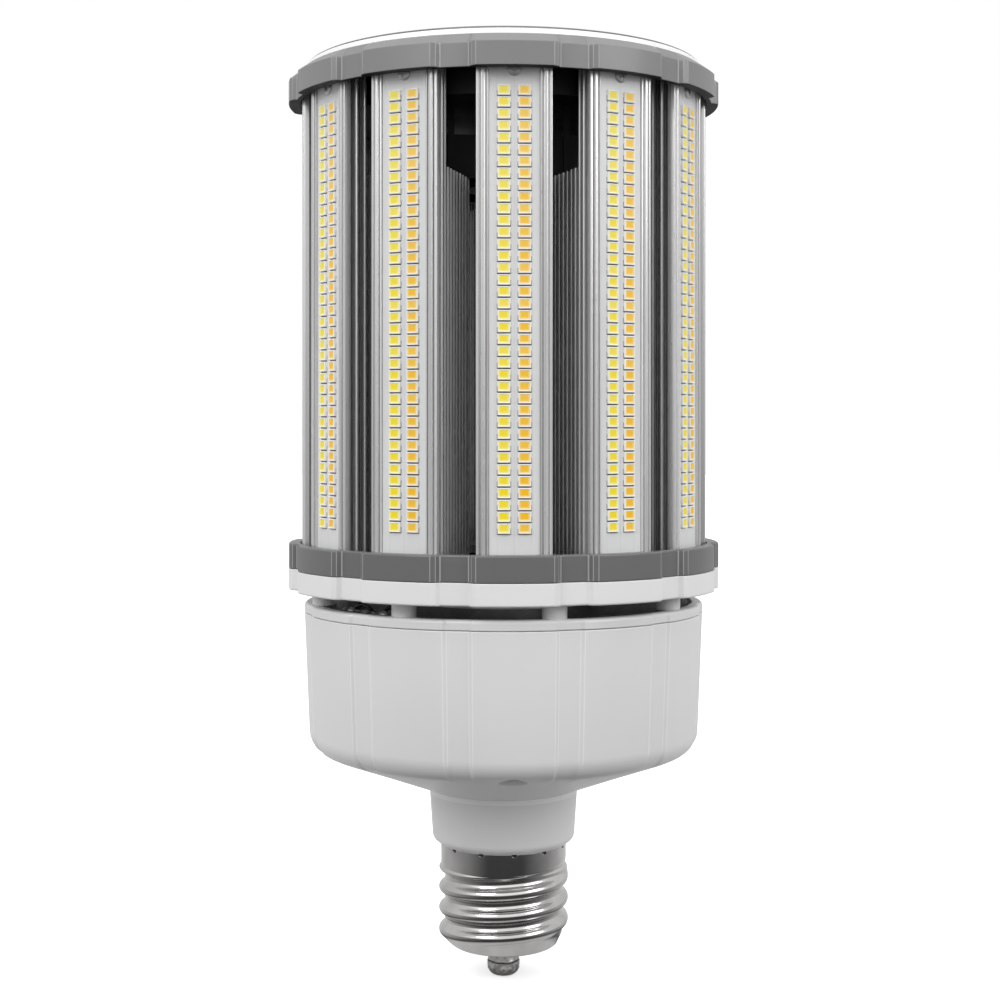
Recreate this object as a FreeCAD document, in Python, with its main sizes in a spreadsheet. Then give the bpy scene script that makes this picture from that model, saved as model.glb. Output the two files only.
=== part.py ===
import FreeCAD, Part
import math
import os
import re
import Sketcher
from FreeCAD import Placement, Rotation, Vector

# Driving sizes in millimetres and degrees. The lamp stands on its end contact, with its axis along +Z.
sizes = {
    # strips round the lamp
    "strip_count": 12,
    # end contact
    "contact_dia": 9.8,
    "contact_stem_dia": 9.4,
    "contact_tip_round": 2.8,
    "contact_bevel": 0.3,
    "contact_band_top": 4.4,
    "contact_reach": 9.4,
    # insulator in the mouth of the screw shell
    "insulator_height": 9.0,
    # screw shell with a rolled thread
    "shell_height": 31.3,
    "shell_crest_dia": 39.3,
    "shell_collar_step": 0.65,
    "shell_collar_height": 7.1,
    "shell_floor_width": 4.5,
    "shell_heel_inset": 4.15,
    "shell_heel_rise": 4.2,
    "shell_heel_round": 2.4,
    "shell_wall": 0.6,
    "thread_depth": 1.85,
    "thread_pitch": 6.35,
    "thread_turns": 3.4,
    "thread_start": 2.2,
    "thread_turn": -150.0,
    "thread_land": 0.3,
    # neck of the driver housing
    "neck_height": 16.5,
    "neck_chamfer": 1.6,
    "neck_lip_inset": 0.05,
    "neck_chamfer_width": 1.9,
    "neck_draft": 0.9,
    "neck_edge_round": 0.7,
    "spigot_length": 14.7,
    "spigot_clearance": 0.1,
    "spigot_wall": 2.1,
    # driver housing
    "housing_height": 53.9,
    "housing_step": 4.9,
    "housing_draft": 1.5,
    "housing_cone_angle": 20.4,
    "housing_round": 7.0,
    "housing_wall": 2.2,
    "housing_recess": 0.6,
    "housing_flank_half": 11.3,
    "housing_flank_lean": 0.6,
    # screws that hold the lid, from under the housing
    "lid_screw_count": 3,
    "lid_screw_inset": 9.1,
    "lid_screw_dia": 3.0,
    "lid_screw_length": 12.0,
    "lid_screw_head_dia": 6.0,
    "lid_screw_head_height": 2.4,
    "lid_boss_dia": 8.0,
    "screw_well_dia": 8.0,
    "screw_well_wall": 1.6,
    "screw_well_top": 22.8,
    "screw_well_floor": 2.0,
    # lid with the posts that carry the lit part
    "lid_height": 3.1,
    "lid_deck": 1.5,
    "lid_rim_wall": 2.4,
    "lid_rim_round": 1.1,
    "post_count": 8,
    "post_inset": 5.1,
    "post_dia": 7.0,
    "post_turn": 12.0,
    "air_gap": 3.9,
    # driver inside the housing
    "driver_board_inset": 10.6,
    "driver_board_thick": 1.6,
    "driver_board_lift": 4.0,
    "driver_board_notch_gap": 0.5,
    "driver_stud_dia": 6.0,
    "driver_stud_inset": 6.0,
    "driver_stud_count": 3,
    "driver_stud_turn": -30.0,
    "transformer_width": 30.0,
    "transformer_depth": 26.0,
    "transformer_height": 20.0,
    "transformer_leg": 5.0,
    "coil_dia": 22.0,
    "capacitor_count": 3,
    "capacitor_dia": 16.0,
    "capacitor_height": 22.0,
    "capacitor_circle": 58.0,
    # wiring board on the lid
    "wiring_board_clearance": 1.1,
    "post_clearance": 0.2,
    "wiring_board_thick": 1.2,
    # rings round the ends of the strips
    "ring_dia": 130.0,
    "lobe_overhang": 4.0,
    "ring_recess": 2.0,
    "ring_flank_half": 11.1,
    "ring_flank_lean": 0.4,
    "ring_edge_round": 0.7,
    "ring_skirt_wall": 4.0,
    "core_bore_dia": 56.0,
    "seat_height": 6.3,
    "seat_deck": 2.2,
    "clamp_height": 7.5,
    "clamp_deck": 2.5,
    "bar_clearance": 0.2,
    "top_ring_wall_height": 6.6,
    "top_ring_bevel_height": 2.8,
    "top_ring_bevel_width": 4.0,
    "top_ring_lip": 2.4,
    # finned bars
    "window_height": 131.5,
    "bar_socket": 3.0,
    "bar_width": 20.8,
    "bar_inset": 4.5,
    "channel_width": 14.2,
    "channel_depth": 1.9,
    "rail_bead_width": 1.5,
    "rail_step": 0.9,
    "rail_shoulder": 0.6,
    "rail_bevel": 0.4,
    "rail_chamfer": 0.2,
    "rail_lip_gap": 0.3,
    "rail_lip_rise": 0.4,
    "edge_thick": 1.4,
    "plate_thick": 1.2,
    "web_thick": 2.0,
    "web_root_thick": 5.2,
    "fin_count": 10,
    "fin_drop": 4.5,
    "fin_pitch": 3.0,
    "fin_thick": 0.9,
    "fin_half_width": 9.9,
    "fin_taper": 0.7,
    "notch_depth": 9.0,
    "notch_height": 27.9,
    "screw_port_drop": 6.0,
    "screw_port_dia": 2.8,
    # strip boards and their light emitters
    "board_width": 14.0,
    "board_thick": 1.0,
    "led_pitch": 3.217,
    "led_column_gap": 5.65,
    "led_width": 3.5,
    "led_height": 2.8,
    "led_thick": 0.7,
    "led_first_drop": 8.5,
    "led_foot_margin": 9.0,
    "strip_screw_dia": 2.0,
    "strip_screw_length": 2.2,
    "strip_screw_head_dia": 3.8,
    "strip_screw_head_height": 0.6,
    "strip_screw_drop": 4.1,
    # top end
    "top_plate_thick": 2.0,
    "top_board_inset": 9.6,
    "top_board_thick": 1.6,
    "top_led_rings": 3,
    "top_led_inset": 8.0,
    "top_led_first_circle": 36.0,
    "top_led_first_count": 12,
    "lens_height": 6.8,
    "lens_inset": 5.4,
    "lens_wall": 1.6,
    "lens_round": 1.0,
    "lens_flange_height": 1.8,
    "lens_flange_width": 1.6,
    # screws through the end plates into the bars
    "end_screw_dia": 2.8,
    "end_screw_length": 8.0,
    "end_screw_head_dia": 5.0,
    "end_screw_head_height": 1.8,
    # fan and the carrier it hangs in
    "fan_side": 60.0,
    "fan_height": 12.0,
    "fan_corner_round": 3.0,
    "fan_bore_dia": 57.2,
    "fan_hole_spacing": 50.0,
    "fan_hole_dia": 4.3,
    "fan_hub_disc": 2.0,
    "fan_hub_disc_dia": 24.0,
    "fan_strut_count": 4,
    "fan_strut_width": 3.0,
    "fan_strut_overlap": 0.5,
    "bearing_dia": 7.0,
    "bearing_height": 6.0,
    "shaft_dia": 3.0,
    "shaft_clearance": 0.06,
    "rotor_dia": 55.0,
    "rotor_hub_dia": 25.0,
    "rotor_hub_wall": 1.4,
    "rotor_hub_round": 1.0,
    "rotor_gap": 0.5,
    "blade_count": 7,
    "blade_thick": 1.1,
    "blade_root_chord": 9.0,
    "blade_root_angle": 42.0,
    "blade_tip_chord": 13.5,
    "blade_tip_angle": 28.0,
    "blade_camber": 1.0,
    "carrier_drop": 7.8,
    "carrier_clearance": 1.0,
    "carrier_wall": 2.0,
    "carrier_sides": 4,
    "carrier_leg_width": 1.8,
    "carrier_leg_depth": 2.2,
    "carrier_leg_spacing": 33.2,
    "carrier_leg_lift": 0.6,
    "carrier_leg_gap": 0.2,
    "carrier_post_dia": 7.0,
    "fan_screw_dia": 3.0,
    "fan_screw_length": 17.0,
    "fan_screw_head_dia": 5.2,
    "fan_screw_head_height": 1.6,
    # how far a cutting solid runs past what it cuts
    "cut_overshoot": 1.0,
}

# Heights above the tip of the end contact, each stacked on the one below.
shoulder = "(contact_reach + shell_height)"
neckTop = f"({shoulder} + neck_height)"
seam = f"({neckTop} + housing_height)"
lidTop = f"({seam} + lid_height)"
seatBottom = f"({lidTop} + air_gap)"
seatTop = f"({seatBottom} + seat_height)"
clampTop = f"({seatTop} + clamp_height)"
barBottom = f"({clampTop} - bar_socket)"
barLength = "(window_height + 2 * bar_socket)"
topRingBottom = f"({clampTop} + window_height)"
barTop = f"({barBottom} + {barLength})"
plateTop = f"({barTop} + top_plate_thick)"
topRingShoulder = f"({topRingBottom} + top_ring_wall_height)"
topRingTop = f"({topRingShoulder} + top_ring_bevel_height)"
notchFloor = f"({barTop} - notch_height)"
carrierBottom = f"({barTop} - carrier_drop)"

# Distances from the axis, shared by the pieces that meet there.
crest = "(shell_crest_dia / 2)"
collar = f"({crest} - shell_collar_step)"
threadRoot = f"({crest} - thread_depth)"
shellHeel = f"({crest} - shell_heel_inset)"
shellMouth = f"({shellHeel} - shell_floor_width)"
shellBore = f"({threadRoot} - shell_wall)"
spigot = f"({shellBore} - spigot_clearance)"
neckBore = f"({spigot} - spigot_wall)"
neckLip = f"({crest} - neck_lip_inset)"
neckLow = f"({neckLip} + neck_chamfer_width)"
neckRadius = f"({neckLow} + neck_draft)"
rimRadius = "(ring_dia / 2 - housing_step)"
footRadius = f"({rimRadius} - housing_draft)"
lidScrewRadius = f"({rimRadius} - lid_screw_inset)"
postRadius = f"({rimRadius} - post_inset)"
lidRimBore = f"({rimRadius} - housing_recess - lid_rim_wall)"
driverBoardRadius = f"({footRadius} - driver_board_inset)"
barFace = "(ring_dia / 2 - bar_inset)"
barCorner = f"(sqrt({barFace} ^ 2 + (bar_width / 2) ^ 2) + bar_clearance)"
channelFloor = f"({barFace} - channel_depth)"
boardFace = f"({channelFloor} + board_thick)"
notchFace = f"({barFace} - notch_depth)"
firstFin = f"({barFace} - fin_drop)"
screwPort = f"({barFace} - screw_port_drop)"
lensRadius = "(ring_dia / 2 - lens_inset)"
topBoardRadius = f"({lensRadius} - top_board_inset)"
coneFoot = f"({neckTop} + ({footRadius} - {neckRadius}) * tan(housing_cone_angle))"
driverFloor = f"({coneFoot} + housing_wall + driver_board_lift)"
stripStep = "(360 / strip_count)"

doc = FreeCAD.newDocument("CornLamp")
sheet = doc.addObject("Spreadsheet::Sheet", "Sizes")
nodes = {}


def fillSheet():
    for row, (name, number) in enumerate(sizes.items(), 1):
        sheet.set(f"A{row}", name)
        sheet.set(f"B{row}", str(number))
        sheet.setAlias(f"B{row}", name)
    doc.recompute()


def bound(text):
    """Names the sheet in front of every size in an expression."""
    return re.sub(r"[a-z][a-z0-9_]*", lambda m: "Sizes." + m[0] if m[0] in sizes else m[0], text)


def value(text):
    result = sheet.evalExpression(bound(text))
    return float(getattr(result, "Value", result))


def bind(thing, **expressions):
    for prop, text in expressions.items():
        thing.setExpression(prop.replace("__", "."), bound(text))
    return thing


def keep(thing, label):
    """Marks an object as one of the lamp's pieces, exported under its label."""
    thing.Label = label
    nodes[label] = thing
    return thing


# Sketches: every corner is held by two distances from the origin and every round by its radius.
def fixPoint(sketch, geometry, spot, x, y):
    for kind, text in (("DistanceX", x), ("DistanceY", y)):
        rule = Sketcher.Constraint(kind, -1, 1, geometry, spot, value(text))
        number = sketch.addConstraint(rule)
        sketch.setExpression(f"Constraints[{number}]", bound(text))


def roundCorner(sketch, lineIn, lineOut, here, before, after, text):
    """Joins two lines by an arc, and keeps the corner that it cuts off as a construction point."""
    radius = value(text)
    back = (before - here).normalize()
    ahead = (after - here).normalize()
    half = back.getAngle(ahead) / 2
    run = radius / math.tan(half)
    middle = here + (back + ahead).normalize() * (radius / math.sin(half) - radius)
    ends = [here + back * run, here + ahead * run]
    # A sketch keeps its arcs anticlockwise, so one that turns the other way is drawn from its far end.
    first = 1 if ahead.cross(back).z > 0 else 2
    if first == 2:
        ends.reverse()
    arc = sketch.addGeometry(Part.Arc(ends[0], middle, ends[1]))
    corner = sketch.addGeometry(Part.Point(here), True)
    sketch.addConstraint([
        Sketcher.Constraint("Tangent", lineIn, 2, arc, first),
        Sketcher.Constraint("Tangent", arc, 3 - first, lineOut, 1),
        Sketcher.Constraint("PointOnObject", corner, 1, lineIn),
        Sketcher.Constraint("PointOnObject", corner, 1, lineOut),
    ])
    number = sketch.addConstraint(Sketcher.Constraint("Radius", arc, radius))
    sketch.setExpression(f"Constraints[{number}]", bound(text))
    return corner


def addOutline(sketch, corners):
    """Draws a closed outline through corners (x, y) or (x, y, radius), all written as expressions."""
    spots = [Vector(value(c[0]), value(c[1]), 0) for c in corners]
    count = len(spots)
    runs = []
    for i, corner in enumerate(corners):
        back = (spots[i - 1] - spots[i]).normalize()
        ahead = (spots[(i + 1) % count] - spots[i]).normalize()
        run = value(corner[2]) / math.tan(back.getAngle(ahead) / 2) if len(corner) > 2 else 0
        runs.append((spots[i] + back * run, spots[i] + ahead * run))
    base = len(sketch.Geometry)
    lines = [Part.LineSegment(runs[i][1], runs[(i + 1) % count][0]) for i in range(count)]
    sketch.addGeometry(lines)
    for i, corner in enumerate(corners):
        lineIn = base + (i - 1) % count
        lineOut = base + i
        if len(corner) > 2:
            after = spots[(i + 1) % count]
            point = roundCorner(sketch, lineIn, lineOut, spots[i], spots[i - 1], after, corner[2])
            fixPoint(sketch, point, 1, corner[0], corner[1])
        else:
            sketch.addConstraint(Sketcher.Constraint("Coincident", lineIn, 2, lineOut, 1))
            fixPoint(sketch, lineOut, 1, corner[0], corner[1])


def addCircle(sketch, x, y, radius):
    centre = Vector(value(x), value(y), 0)
    circle = sketch.addGeometry(Part.Circle(centre, Vector(0, 0, 1), value(radius)))
    fixPoint(sketch, circle, 3, x, y)
    number = sketch.addConstraint(Sketcher.Constraint("Radius", circle, value(radius)))
    sketch.setExpression(f"Constraints[{number}]", bound(radius))


# Loose sketches with their solids, for pieces joined and cut as whole solids.
def revolved(name, corners):
    """Turns an outline of (radius, height) corners into a solid round the axis."""
    sketch = doc.addObject("Sketcher::SketchObject", name + "_outline")
    sketch.Placement = Placement(Vector(), Rotation(Vector(1, 0, 0), 90))
    addOutline(sketch, corners)
    solid = doc.addObject("Part::Revolution", name)
    solid.Source = sketch
    solid.Axis = Vector(0, 0, 1)
    solid.Angle = 360
    solid.Solid = True
    return solid


def extruded(name, corners, bottom, height):
    sketch = doc.addObject("Sketcher::SketchObject", name + "_outline")
    addOutline(sketch, corners)
    bind(sketch, Placement__Base__z=bottom)
    solid = doc.addObject("Part::Extrusion", name)
    solid.Base = sketch
    solid.DirMode = "Custom"
    solid.Dir = Vector(0, 0, 1)
    solid.Solid = True
    return bind(solid, LengthFwd=height)


def cylinder(name, diameter, bottom, height, x="0", y="0"):
    solid = doc.addObject("Part::Cylinder", name)
    bind(solid, Radius=f"({diameter}) / 2", Height=height)
    return bind(solid, Placement__Base__x=x, Placement__Base__y=y, Placement__Base__z=bottom)


def box(name, width, depth, height, x, y, z):
    """A box of the given size from its lowest corner."""
    solid = doc.addObject("Part::Box", name)
    bind(solid, Length=width, Width=depth, Height=height)
    return bind(solid, Placement__Base__x=x, Placement__Base__y=y, Placement__Base__z=z)


def cut(name, base, *tools):
    solid = doc.addObject("Part::Cut", name)
    solid.Base = base
    solid.Tool = tools[0] if len(tools) == 1 else fused(name + "_tools", *tools)
    return solid


def fused(name, *shapes):
    solid = doc.addObject("Part::MultiFuse", name)
    solid.Shapes = list(shapes)
    solid.Refine = True
    return solid


def ringOf(name, thing, count, turn="0"):
    """Repeats a solid round the axis, as one group."""
    group = doc.addObject("Part::Compound", name)
    links = []
    for i in range(round(value(count))):
        spoke = doc.addObject("Part::Compound", f"{name}_{i + 1}")
        spoke.Links = [thing]
        spoke.Placement.Rotation = Rotation(Vector(0, 0, 1), value(f"{turn} + {i} * 360 / {count}"))
        links.append(spoke)
    group.Links = links
    return group


# Bodies: one solid each, built from sketches on their own planes.
def originPart(body, role):
    return next(part for part in body.Origin.OriginFeatures if part.Role == role)


def newBody(name):
    return doc.addObject("PartDesign::Body", name)


def bodySketch(body, name, role, offset="0"):
    sketch = body.newObject("Sketcher::SketchObject", name)
    sketch.AttachmentSupport = [(originPart(body, role), "")]
    sketch.MapMode = "FlatFace"
    bind(sketch, AttachmentOffset__Base__z=offset)
    return sketch


def bodyRevolution(body, name, corners):
    sketch = bodySketch(body, name + "_outline", "XZ_Plane")
    addOutline(sketch, corners)
    turned = body.newObject("PartDesign::Revolution", name)
    turned.Profile = sketch
    turned.ReferenceAxis = (originPart(body, "Z_Axis"), [""])
    turned.Angle = 360
    return turned


def polar(body, name, feature, count):
    pattern = body.newObject("PartDesign::PolarPattern", name)
    pattern.Originals = [feature]
    pattern.Axis = (originPart(body, "Z_Axis"), [""])
    pattern.Angle = 360
    bind(pattern, Occurrences=count)
    body.Tip = pattern
    return pattern


# Screw base
def makeEndContact():
    body = newBody("end_contact_body")
    stem = "contact_stem_dia / 2"
    band = "contact_dia / 2"
    bodyRevolution(body, "contact_turning", [
        ("0", "0"),
        (band, "0", "contact_tip_round"),
        (band, "contact_band_top - contact_bevel"),
        (stem, "contact_band_top"),
        (stem, "contact_reach + insulator_height"),
        ("0", "contact_reach + insulator_height"),
    ])
    keep(body, "end_contact")


def makeInsulator():
    body = newBody("base_insulator_body")
    floor = "contact_reach + shell_wall"
    bodyRevolution(body, "insulator_turning", [
        ("contact_stem_dia / 2", "contact_reach"),
        (shellMouth, "contact_reach"),
        (shellMouth, floor),
        (f"{shellHeel} - shell_wall", floor),
        (shellBore, f"{floor} + shell_heel_rise"),
        (shellBore, "contact_reach + insulator_height"),
        ("contact_stem_dia / 2", "contact_reach + insulator_height"),
    ])
    keep(body, "base_insulator")


def addThreadSection(sketch):
    """The groove between two crests: a root arc that runs into half of each crest's arc."""
    top = value(crest)
    root = value(threadRoot)
    half = value("thread_pitch / 2")
    land = value("thread_land / 2")
    centre = value("contact_reach + thread_start")
    lean = 2 * math.atan((top - root) / half)
    arc = half / (2 * math.sin(lean))

    def flank(rise):
        return top - arc + math.sqrt(arc ** 2 - (half - abs(rise)) ** 2)

    def spot(radius, rise):
        return Vector(radius, centre + rise, 0)

    edge = half - land
    beyond = top + arc / 4
    low = spot(flank(edge), -edge)
    high = spot(flank(edge), edge)
    lowTurn = spot((top + root) / 2, -half / 2)
    highTurn = spot((top + root) / 2, half / 2)
    sketch.addGeometry([
        Part.LineSegment(spot(beyond, -edge), low),
        Part.Arc(low, spot(flank(0.75 * half), -0.75 * half), lowTurn),
        Part.Arc(lowTurn, spot(root, 0), highTurn),
        Part.Arc(highTurn, spot(flank(0.75 * half), 0.75 * half), high),
        Part.LineSegment(high, spot(beyond, edge)),
        Part.LineSegment(spot(beyond, edge), spot(beyond, -edge)),
    ])


def makeScrewShell():
    body = newBody("screw_shell_body")
    collarStart = f"{shoulder} - shell_collar_height"
    heelTop = "contact_reach + shell_heel_rise"
    bodyRevolution(body, "shell_wall_turning", [
        (shellMouth, "contact_reach"),
        (shellHeel, "contact_reach", "shell_heel_round"),
        (crest, heelTop, "shell_heel_round / 2"),
        (crest, f"{collarStart} - shell_collar_step"),
        (collar, collarStart),
        (collar, shoulder),
        (f"{collar} - shell_wall", shoulder),
        (f"{collar} - shell_wall", collarStart),
        (shellBore, f"{collarStart} - (thread_depth - shell_collar_step)"),
        (shellBore, f"{heelTop} + shell_wall"),
        (f"{shellHeel} - shell_wall", "contact_reach + shell_wall"),
        (shellMouth, "contact_reach + shell_wall"),
    ])
    section = bodySketch(body, "thread_section", "XZ_Plane")
    addThreadSection(section)
    thread = body.newObject("PartDesign::SubtractiveHelix", "rolled_thread")
    thread.Profile = section
    thread.ReferenceAxis = (originPart(body, "Z_Axis"), [""])
    thread.Mode = "pitch-turns-angle"
    thread.LeftHanded = False
    bind(thread, Pitch="thread_pitch", Turns="thread_turns")
    bind(body, Placement__Rotation__Angle="thread_turn")
    keep(body, "screw_shell")


# Lobed rings and housing: a plain ring at the recess radius, with twelve flats built out to the full radius.
def makeFlankStar(name, radius, halfWidth, lean):
    """A star that keeps only the lobes of a ring. Its arms narrow outwards, so their flanks lean."""
    body = newBody(name)
    tip = f"({radius} + lobe_overhang)"
    tipHalf = f"({halfWidth} - lobe_overhang * {lean})"
    half = f"({stripStep} / 2)"
    valley = f"(({halfWidth} + {lean} * {radius}) / (tan({half}) + {lean}))"
    valleyHalf = f"({valley} * tan({half}))"
    sketch = bodySketch(body, name + "_arm", "XY_Plane", "contact_reach")
    addOutline(sketch, [
        ("0", "0"),
        (valleyHalf, valley),
        (tipHalf, tip),
        (f"-{tipHalf}", tip),
        (f"-{valleyHalf}", valley),
    ])
    arm = body.newObject("PartDesign::Pad", name + "_pad")
    arm.Profile = sketch
    bind(arm, Length=topRingTop)
    polar(body, name + "_arms", arm, "strip_count")
    return body


def lobed(name, star, plain, full):
    lobes = doc.addObject("Part::MultiCommon", name + "_lobes")
    lobes.Shapes = [full, star]
    return fused(name + "_lobed", plain, lobes)


def housingOutline(recess):
    """The housing's section: spigot, neck, cone and wall outside, and the same walls inside."""
    inner = f"({footRadius} - housing_recess - housing_wall)"
    rise = "(housing_wall * (1 - sin(housing_cone_angle)) / cos(housing_cone_angle))"
    drop = f"(({inner} - {neckBore}) * tan(housing_cone_angle))"
    return [
        (neckBore, f"{shoulder} - spigot_length"),
        (spigot, f"{shoulder} - spigot_length"),
        (spigot, shoulder),
        (neckLip, shoulder),
        (neckLow, f"{shoulder} + neck_chamfer"),
        (neckRadius, f"{neckTop} - neck_edge_round", "neck_edge_round"),
        (f"{neckRadius} - neck_edge_round", neckTop),
        (f"{footRadius} - {recess}", coneFoot, "housing_round"),
        (f"{rimRadius} - {recess}", seam),
        (f"{rimRadius} - housing_recess - housing_wall", seam),
        (inner, f"{coneFoot} + {rise}", "housing_round - housing_wall"),
        (neckBore, f"{coneFoot} + {rise} - {drop}"),
    ]


def spotsRound(count, radius, turn="-90"):
    """The places of a ring of screws or posts, as pairs of expressions."""
    spots = []
    for i in range(round(value(count))):
        angle = f"({turn} + {i} * 360 / {count})"
        spots.append((f"{radius} * cos({angle})", f"{radius} * sin({angle})"))
    return spots


def makeHousing(star):
    plain = revolved("housing_plain", housingOutline("housing_recess"))
    full = revolved("housing_full", housingOutline("0"))
    shell = lobed("housing", star, plain, full)
    cavity = f"({neckTop} + screw_well_top)"
    wells = []
    bores = []
    for i, (x, y) in enumerate(spotsRound("lid_screw_count", lidScrewRadius)):
        wide = "screw_well_dia + 2 * screw_well_wall"
        wells.append(cylinder(f"well_tube_{i + 1}", wide, neckTop, "screw_well_top", x, y))
        deep = f"{cavity} - screw_well_floor - {shoulder}"
        bores.append(cylinder(f"well_bore_{i + 1}", "screw_well_dia", shoulder, deep, x, y))
        through = f"{cavity} - {shoulder} + cut_overshoot"
        bores.append(cylinder(f"well_hole_{i + 1}", "lid_screw_dia", shoulder, through, x, y))
    studs = []
    studRadius = f"({driverBoardRadius} - driver_stud_inset)"
    for i, (x, y) in enumerate(spotsRound("driver_stud_count", studRadius, "driver_stud_turn")):
        tall = f"{driverFloor} - {neckTop}"
        studs.append(cylinder(f"driver_stud_{i + 1}", "driver_stud_dia", neckTop, tall, x, y))
    # The wells and studs stand on the cone and go no further than its outer face.
    outside = revolved("housing_outside", [
        ("0", neckTop),
        (neckRadius, neckTop),
        (f"{footRadius} - housing_recess", coneFoot, "housing_round"),
        (f"{rimRadius} - housing_recess", seam),
        ("0", seam),
    ])
    inside = doc.addObject("Part::MultiCommon", "housing_bosses")
    inside.Shapes = [outside, fused("housing_boss_tubes", *wells, *studs)]
    keep(cut("driver_housing_cut", fused("housing_bossed", shell, inside), *bores), "driver_housing")


def screw(name, x, y, seat, headUp, diameter, length, headDia, headHeight):
    """A pan-head screw whose head bears on the height called seat."""
    sign = "" if headUp else "-"
    shank = cylinder(name + "_shank", diameter, f"{seat} - {length}" if headUp else seat, length, x, y)
    low = seat if headUp else f"{seat} - {headHeight}"
    head = cylinder(name + "_head", headDia, low, headHeight, x, y)
    return fused(name, shank, head)


def group(label, things):
    compound = doc.addObject("Part::Compound", label + "_group")
    compound.Links = things
    return keep(compound, label)


def makeLidScrews():
    seat = f"({neckTop} + screw_well_top - screw_well_floor)"
    screws = []
    for i, (x, y) in enumerate(spotsRound("lid_screw_count", lidScrewRadius)):
        screws.append(screw(f"lid_screw_{i + 1}", x, y, seat, False, "lid_screw_dia", "lid_screw_length",
                            "lid_screw_head_dia", "lid_screw_head_height"))
    group("housing_screws", screws)


def makeLid(star):
    def lidOutline(recess):
        rim = f"({rimRadius} - {recess})"
        return [
            ("0", seam),
            (rim, seam),
            (rim, lidTop, "lid_rim_round"),
            (lidRimBore, lidTop),
            (lidRimBore, f"{seam} + lid_deck"),
            ("0", f"{seam} + lid_deck"),
        ]
    plain = revolved("lid_plain", lidOutline("housing_recess"))
    full = revolved("lid_full", lidOutline("0"))
    added = [lobed("lid", star, plain, full)]
    for i, (x, y) in enumerate(spotsRound("post_count", postRadius, "post_turn - 90")):
        top = f"{seatTop} - seat_deck"
        added.append(cylinder(f"post_{i + 1}", "post_dia", seam, f"{top} - {seam}", x, y))
    wellTop = f"({neckTop} + screw_well_top)"
    pilots = []
    for i, (x, y) in enumerate(spotsRound("lid_screw_count", lidScrewRadius)):
        tall = f"{seam} - {wellTop} + lid_deck"
        added.append(cylinder(f"lid_boss_{i + 1}", "lid_boss_dia", wellTop, tall, x, y))
        pilots.append(cylinder(f"lid_pilot_{i + 1}", "lid_screw_dia", wellTop, "lid_screw_length", x, y))
    keep(cut("housing_lid_cut", fused("lid_posts", *added), *pilots), "housing_lid")


# Driver
def makeDriver():
    disc = cylinder("driver_disc", f"2 * {driverBoardRadius}", driverFloor, "driver_board_thick")
    clear = []
    for i, (x, y) in enumerate(spotsRound("lid_screw_count", lidScrewRadius)):
        wide = "screw_well_dia + 2 * (screw_well_wall + driver_board_notch_gap)"
        clear.append(cylinder(f"driver_notch_{i + 1}", wide, driverFloor, "driver_board_thick", x, y))
    keep(cut("driver_board_cut", disc, *clear), "driver_board")
    face = f"({driverFloor} + driver_board_thick)"
    core = box("core_block", "transformer_width", "transformer_depth", "transformer_height",
               "-transformer_width / 2", "-transformer_depth / 2", face)
    sill = f"{face} + transformer_leg"
    opening = "transformer_height - 2 * transformer_leg"
    window = box("core_window", "transformer_width - 2 * transformer_leg", "transformer_depth", opening,
                 "-transformer_width / 2 + transformer_leg", "-transformer_depth / 2", sill)
    coil = cylinder("core_coil", "coil_dia", sill, opening)
    keep(fused("transformer_solid", cut("core_frame", core, window), coil), "driver_transformer")
    cans = []
    for i, (x, y) in enumerate(spotsRound("capacitor_count", "capacitor_circle / 2", "driver_stud_turn")):
        cans.append(cylinder(f"capacitor_{i + 1}", "capacitor_dia", face, "capacitor_height", x, y))
    group("driver_capacitors", cans)


def makeWiringBoard():
    level = f"({seam} + lid_deck)"
    rim = f"{lidRimBore} - wiring_board_clearance"
    disc = cylinder("wiring_disc", f"2 * ({rim})", level, "wiring_board_thick")
    bores = [cylinder("wiring_bore", "core_bore_dia", level, "wiring_board_thick")]
    for i, (x, y) in enumerate(spotsRound("post_count", postRadius, "post_turn - 90")):
        notch = "post_dia + 2 * post_clearance"
        bores.append(cylinder(f"wiring_notch_{i + 1}", notch, level, "wiring_board_thick", x, y))
    keep(cut("wiring_board_cut", disc, *bores), "wiring_board")


# Rings at the two ends of the strips
def makeSeatRing(star):
    outer = "ring_dia / 2"
    inner = f"{outer} - ring_skirt_wall"
    deck = f"{seatTop} - seat_deck"
    plain = revolved("seat_plain", [
        (f"{outer} - ring_recess", seatBottom, "ring_edge_round"),
        (f"{outer} - ring_recess", seatTop),
        ("core_bore_dia / 2", seatTop),
        ("core_bore_dia / 2", deck),
        (inner, deck),
        (inner, seatBottom),
    ])
    full = revolved("seat_full", [
        (outer, seatBottom, "ring_edge_round"),
        (outer, seatTop),
        (inner, seatTop),
        (inner, seatBottom),
    ])
    keep(lobed("seat", star, plain, full), "seat_ring")


def makeBottomClamp(star):
    outer = "ring_dia / 2"
    inner = f"{outer} - ring_skirt_wall"
    plain = revolved("clamp_plain", [
        (f"{outer} - ring_recess", seatTop),
        (f"{outer} - ring_recess", clampTop, "ring_edge_round"),
        (barCorner, clampTop),
        (barCorner, barBottom),
        ("core_bore_dia / 2", barBottom),
        ("core_bore_dia / 2", f"{barBottom} - clamp_deck"),
        (inner, f"{barBottom} - clamp_deck"),
        (inner, seatTop),
    ])
    full = revolved("clamp_full", [
        (outer, seatTop),
        (outer, clampTop, "ring_edge_round"),
        (barCorner, clampTop),
        (barCorner, seatTop),
    ])
    holes = endScrewHoles("clamp", f"{barBottom} - clamp_deck", "clamp_deck")
    keep(cut("bottom_clamp_cut", lobed("clamp", star, plain, full), *holes), "bottom_clamp_ring")


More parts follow.
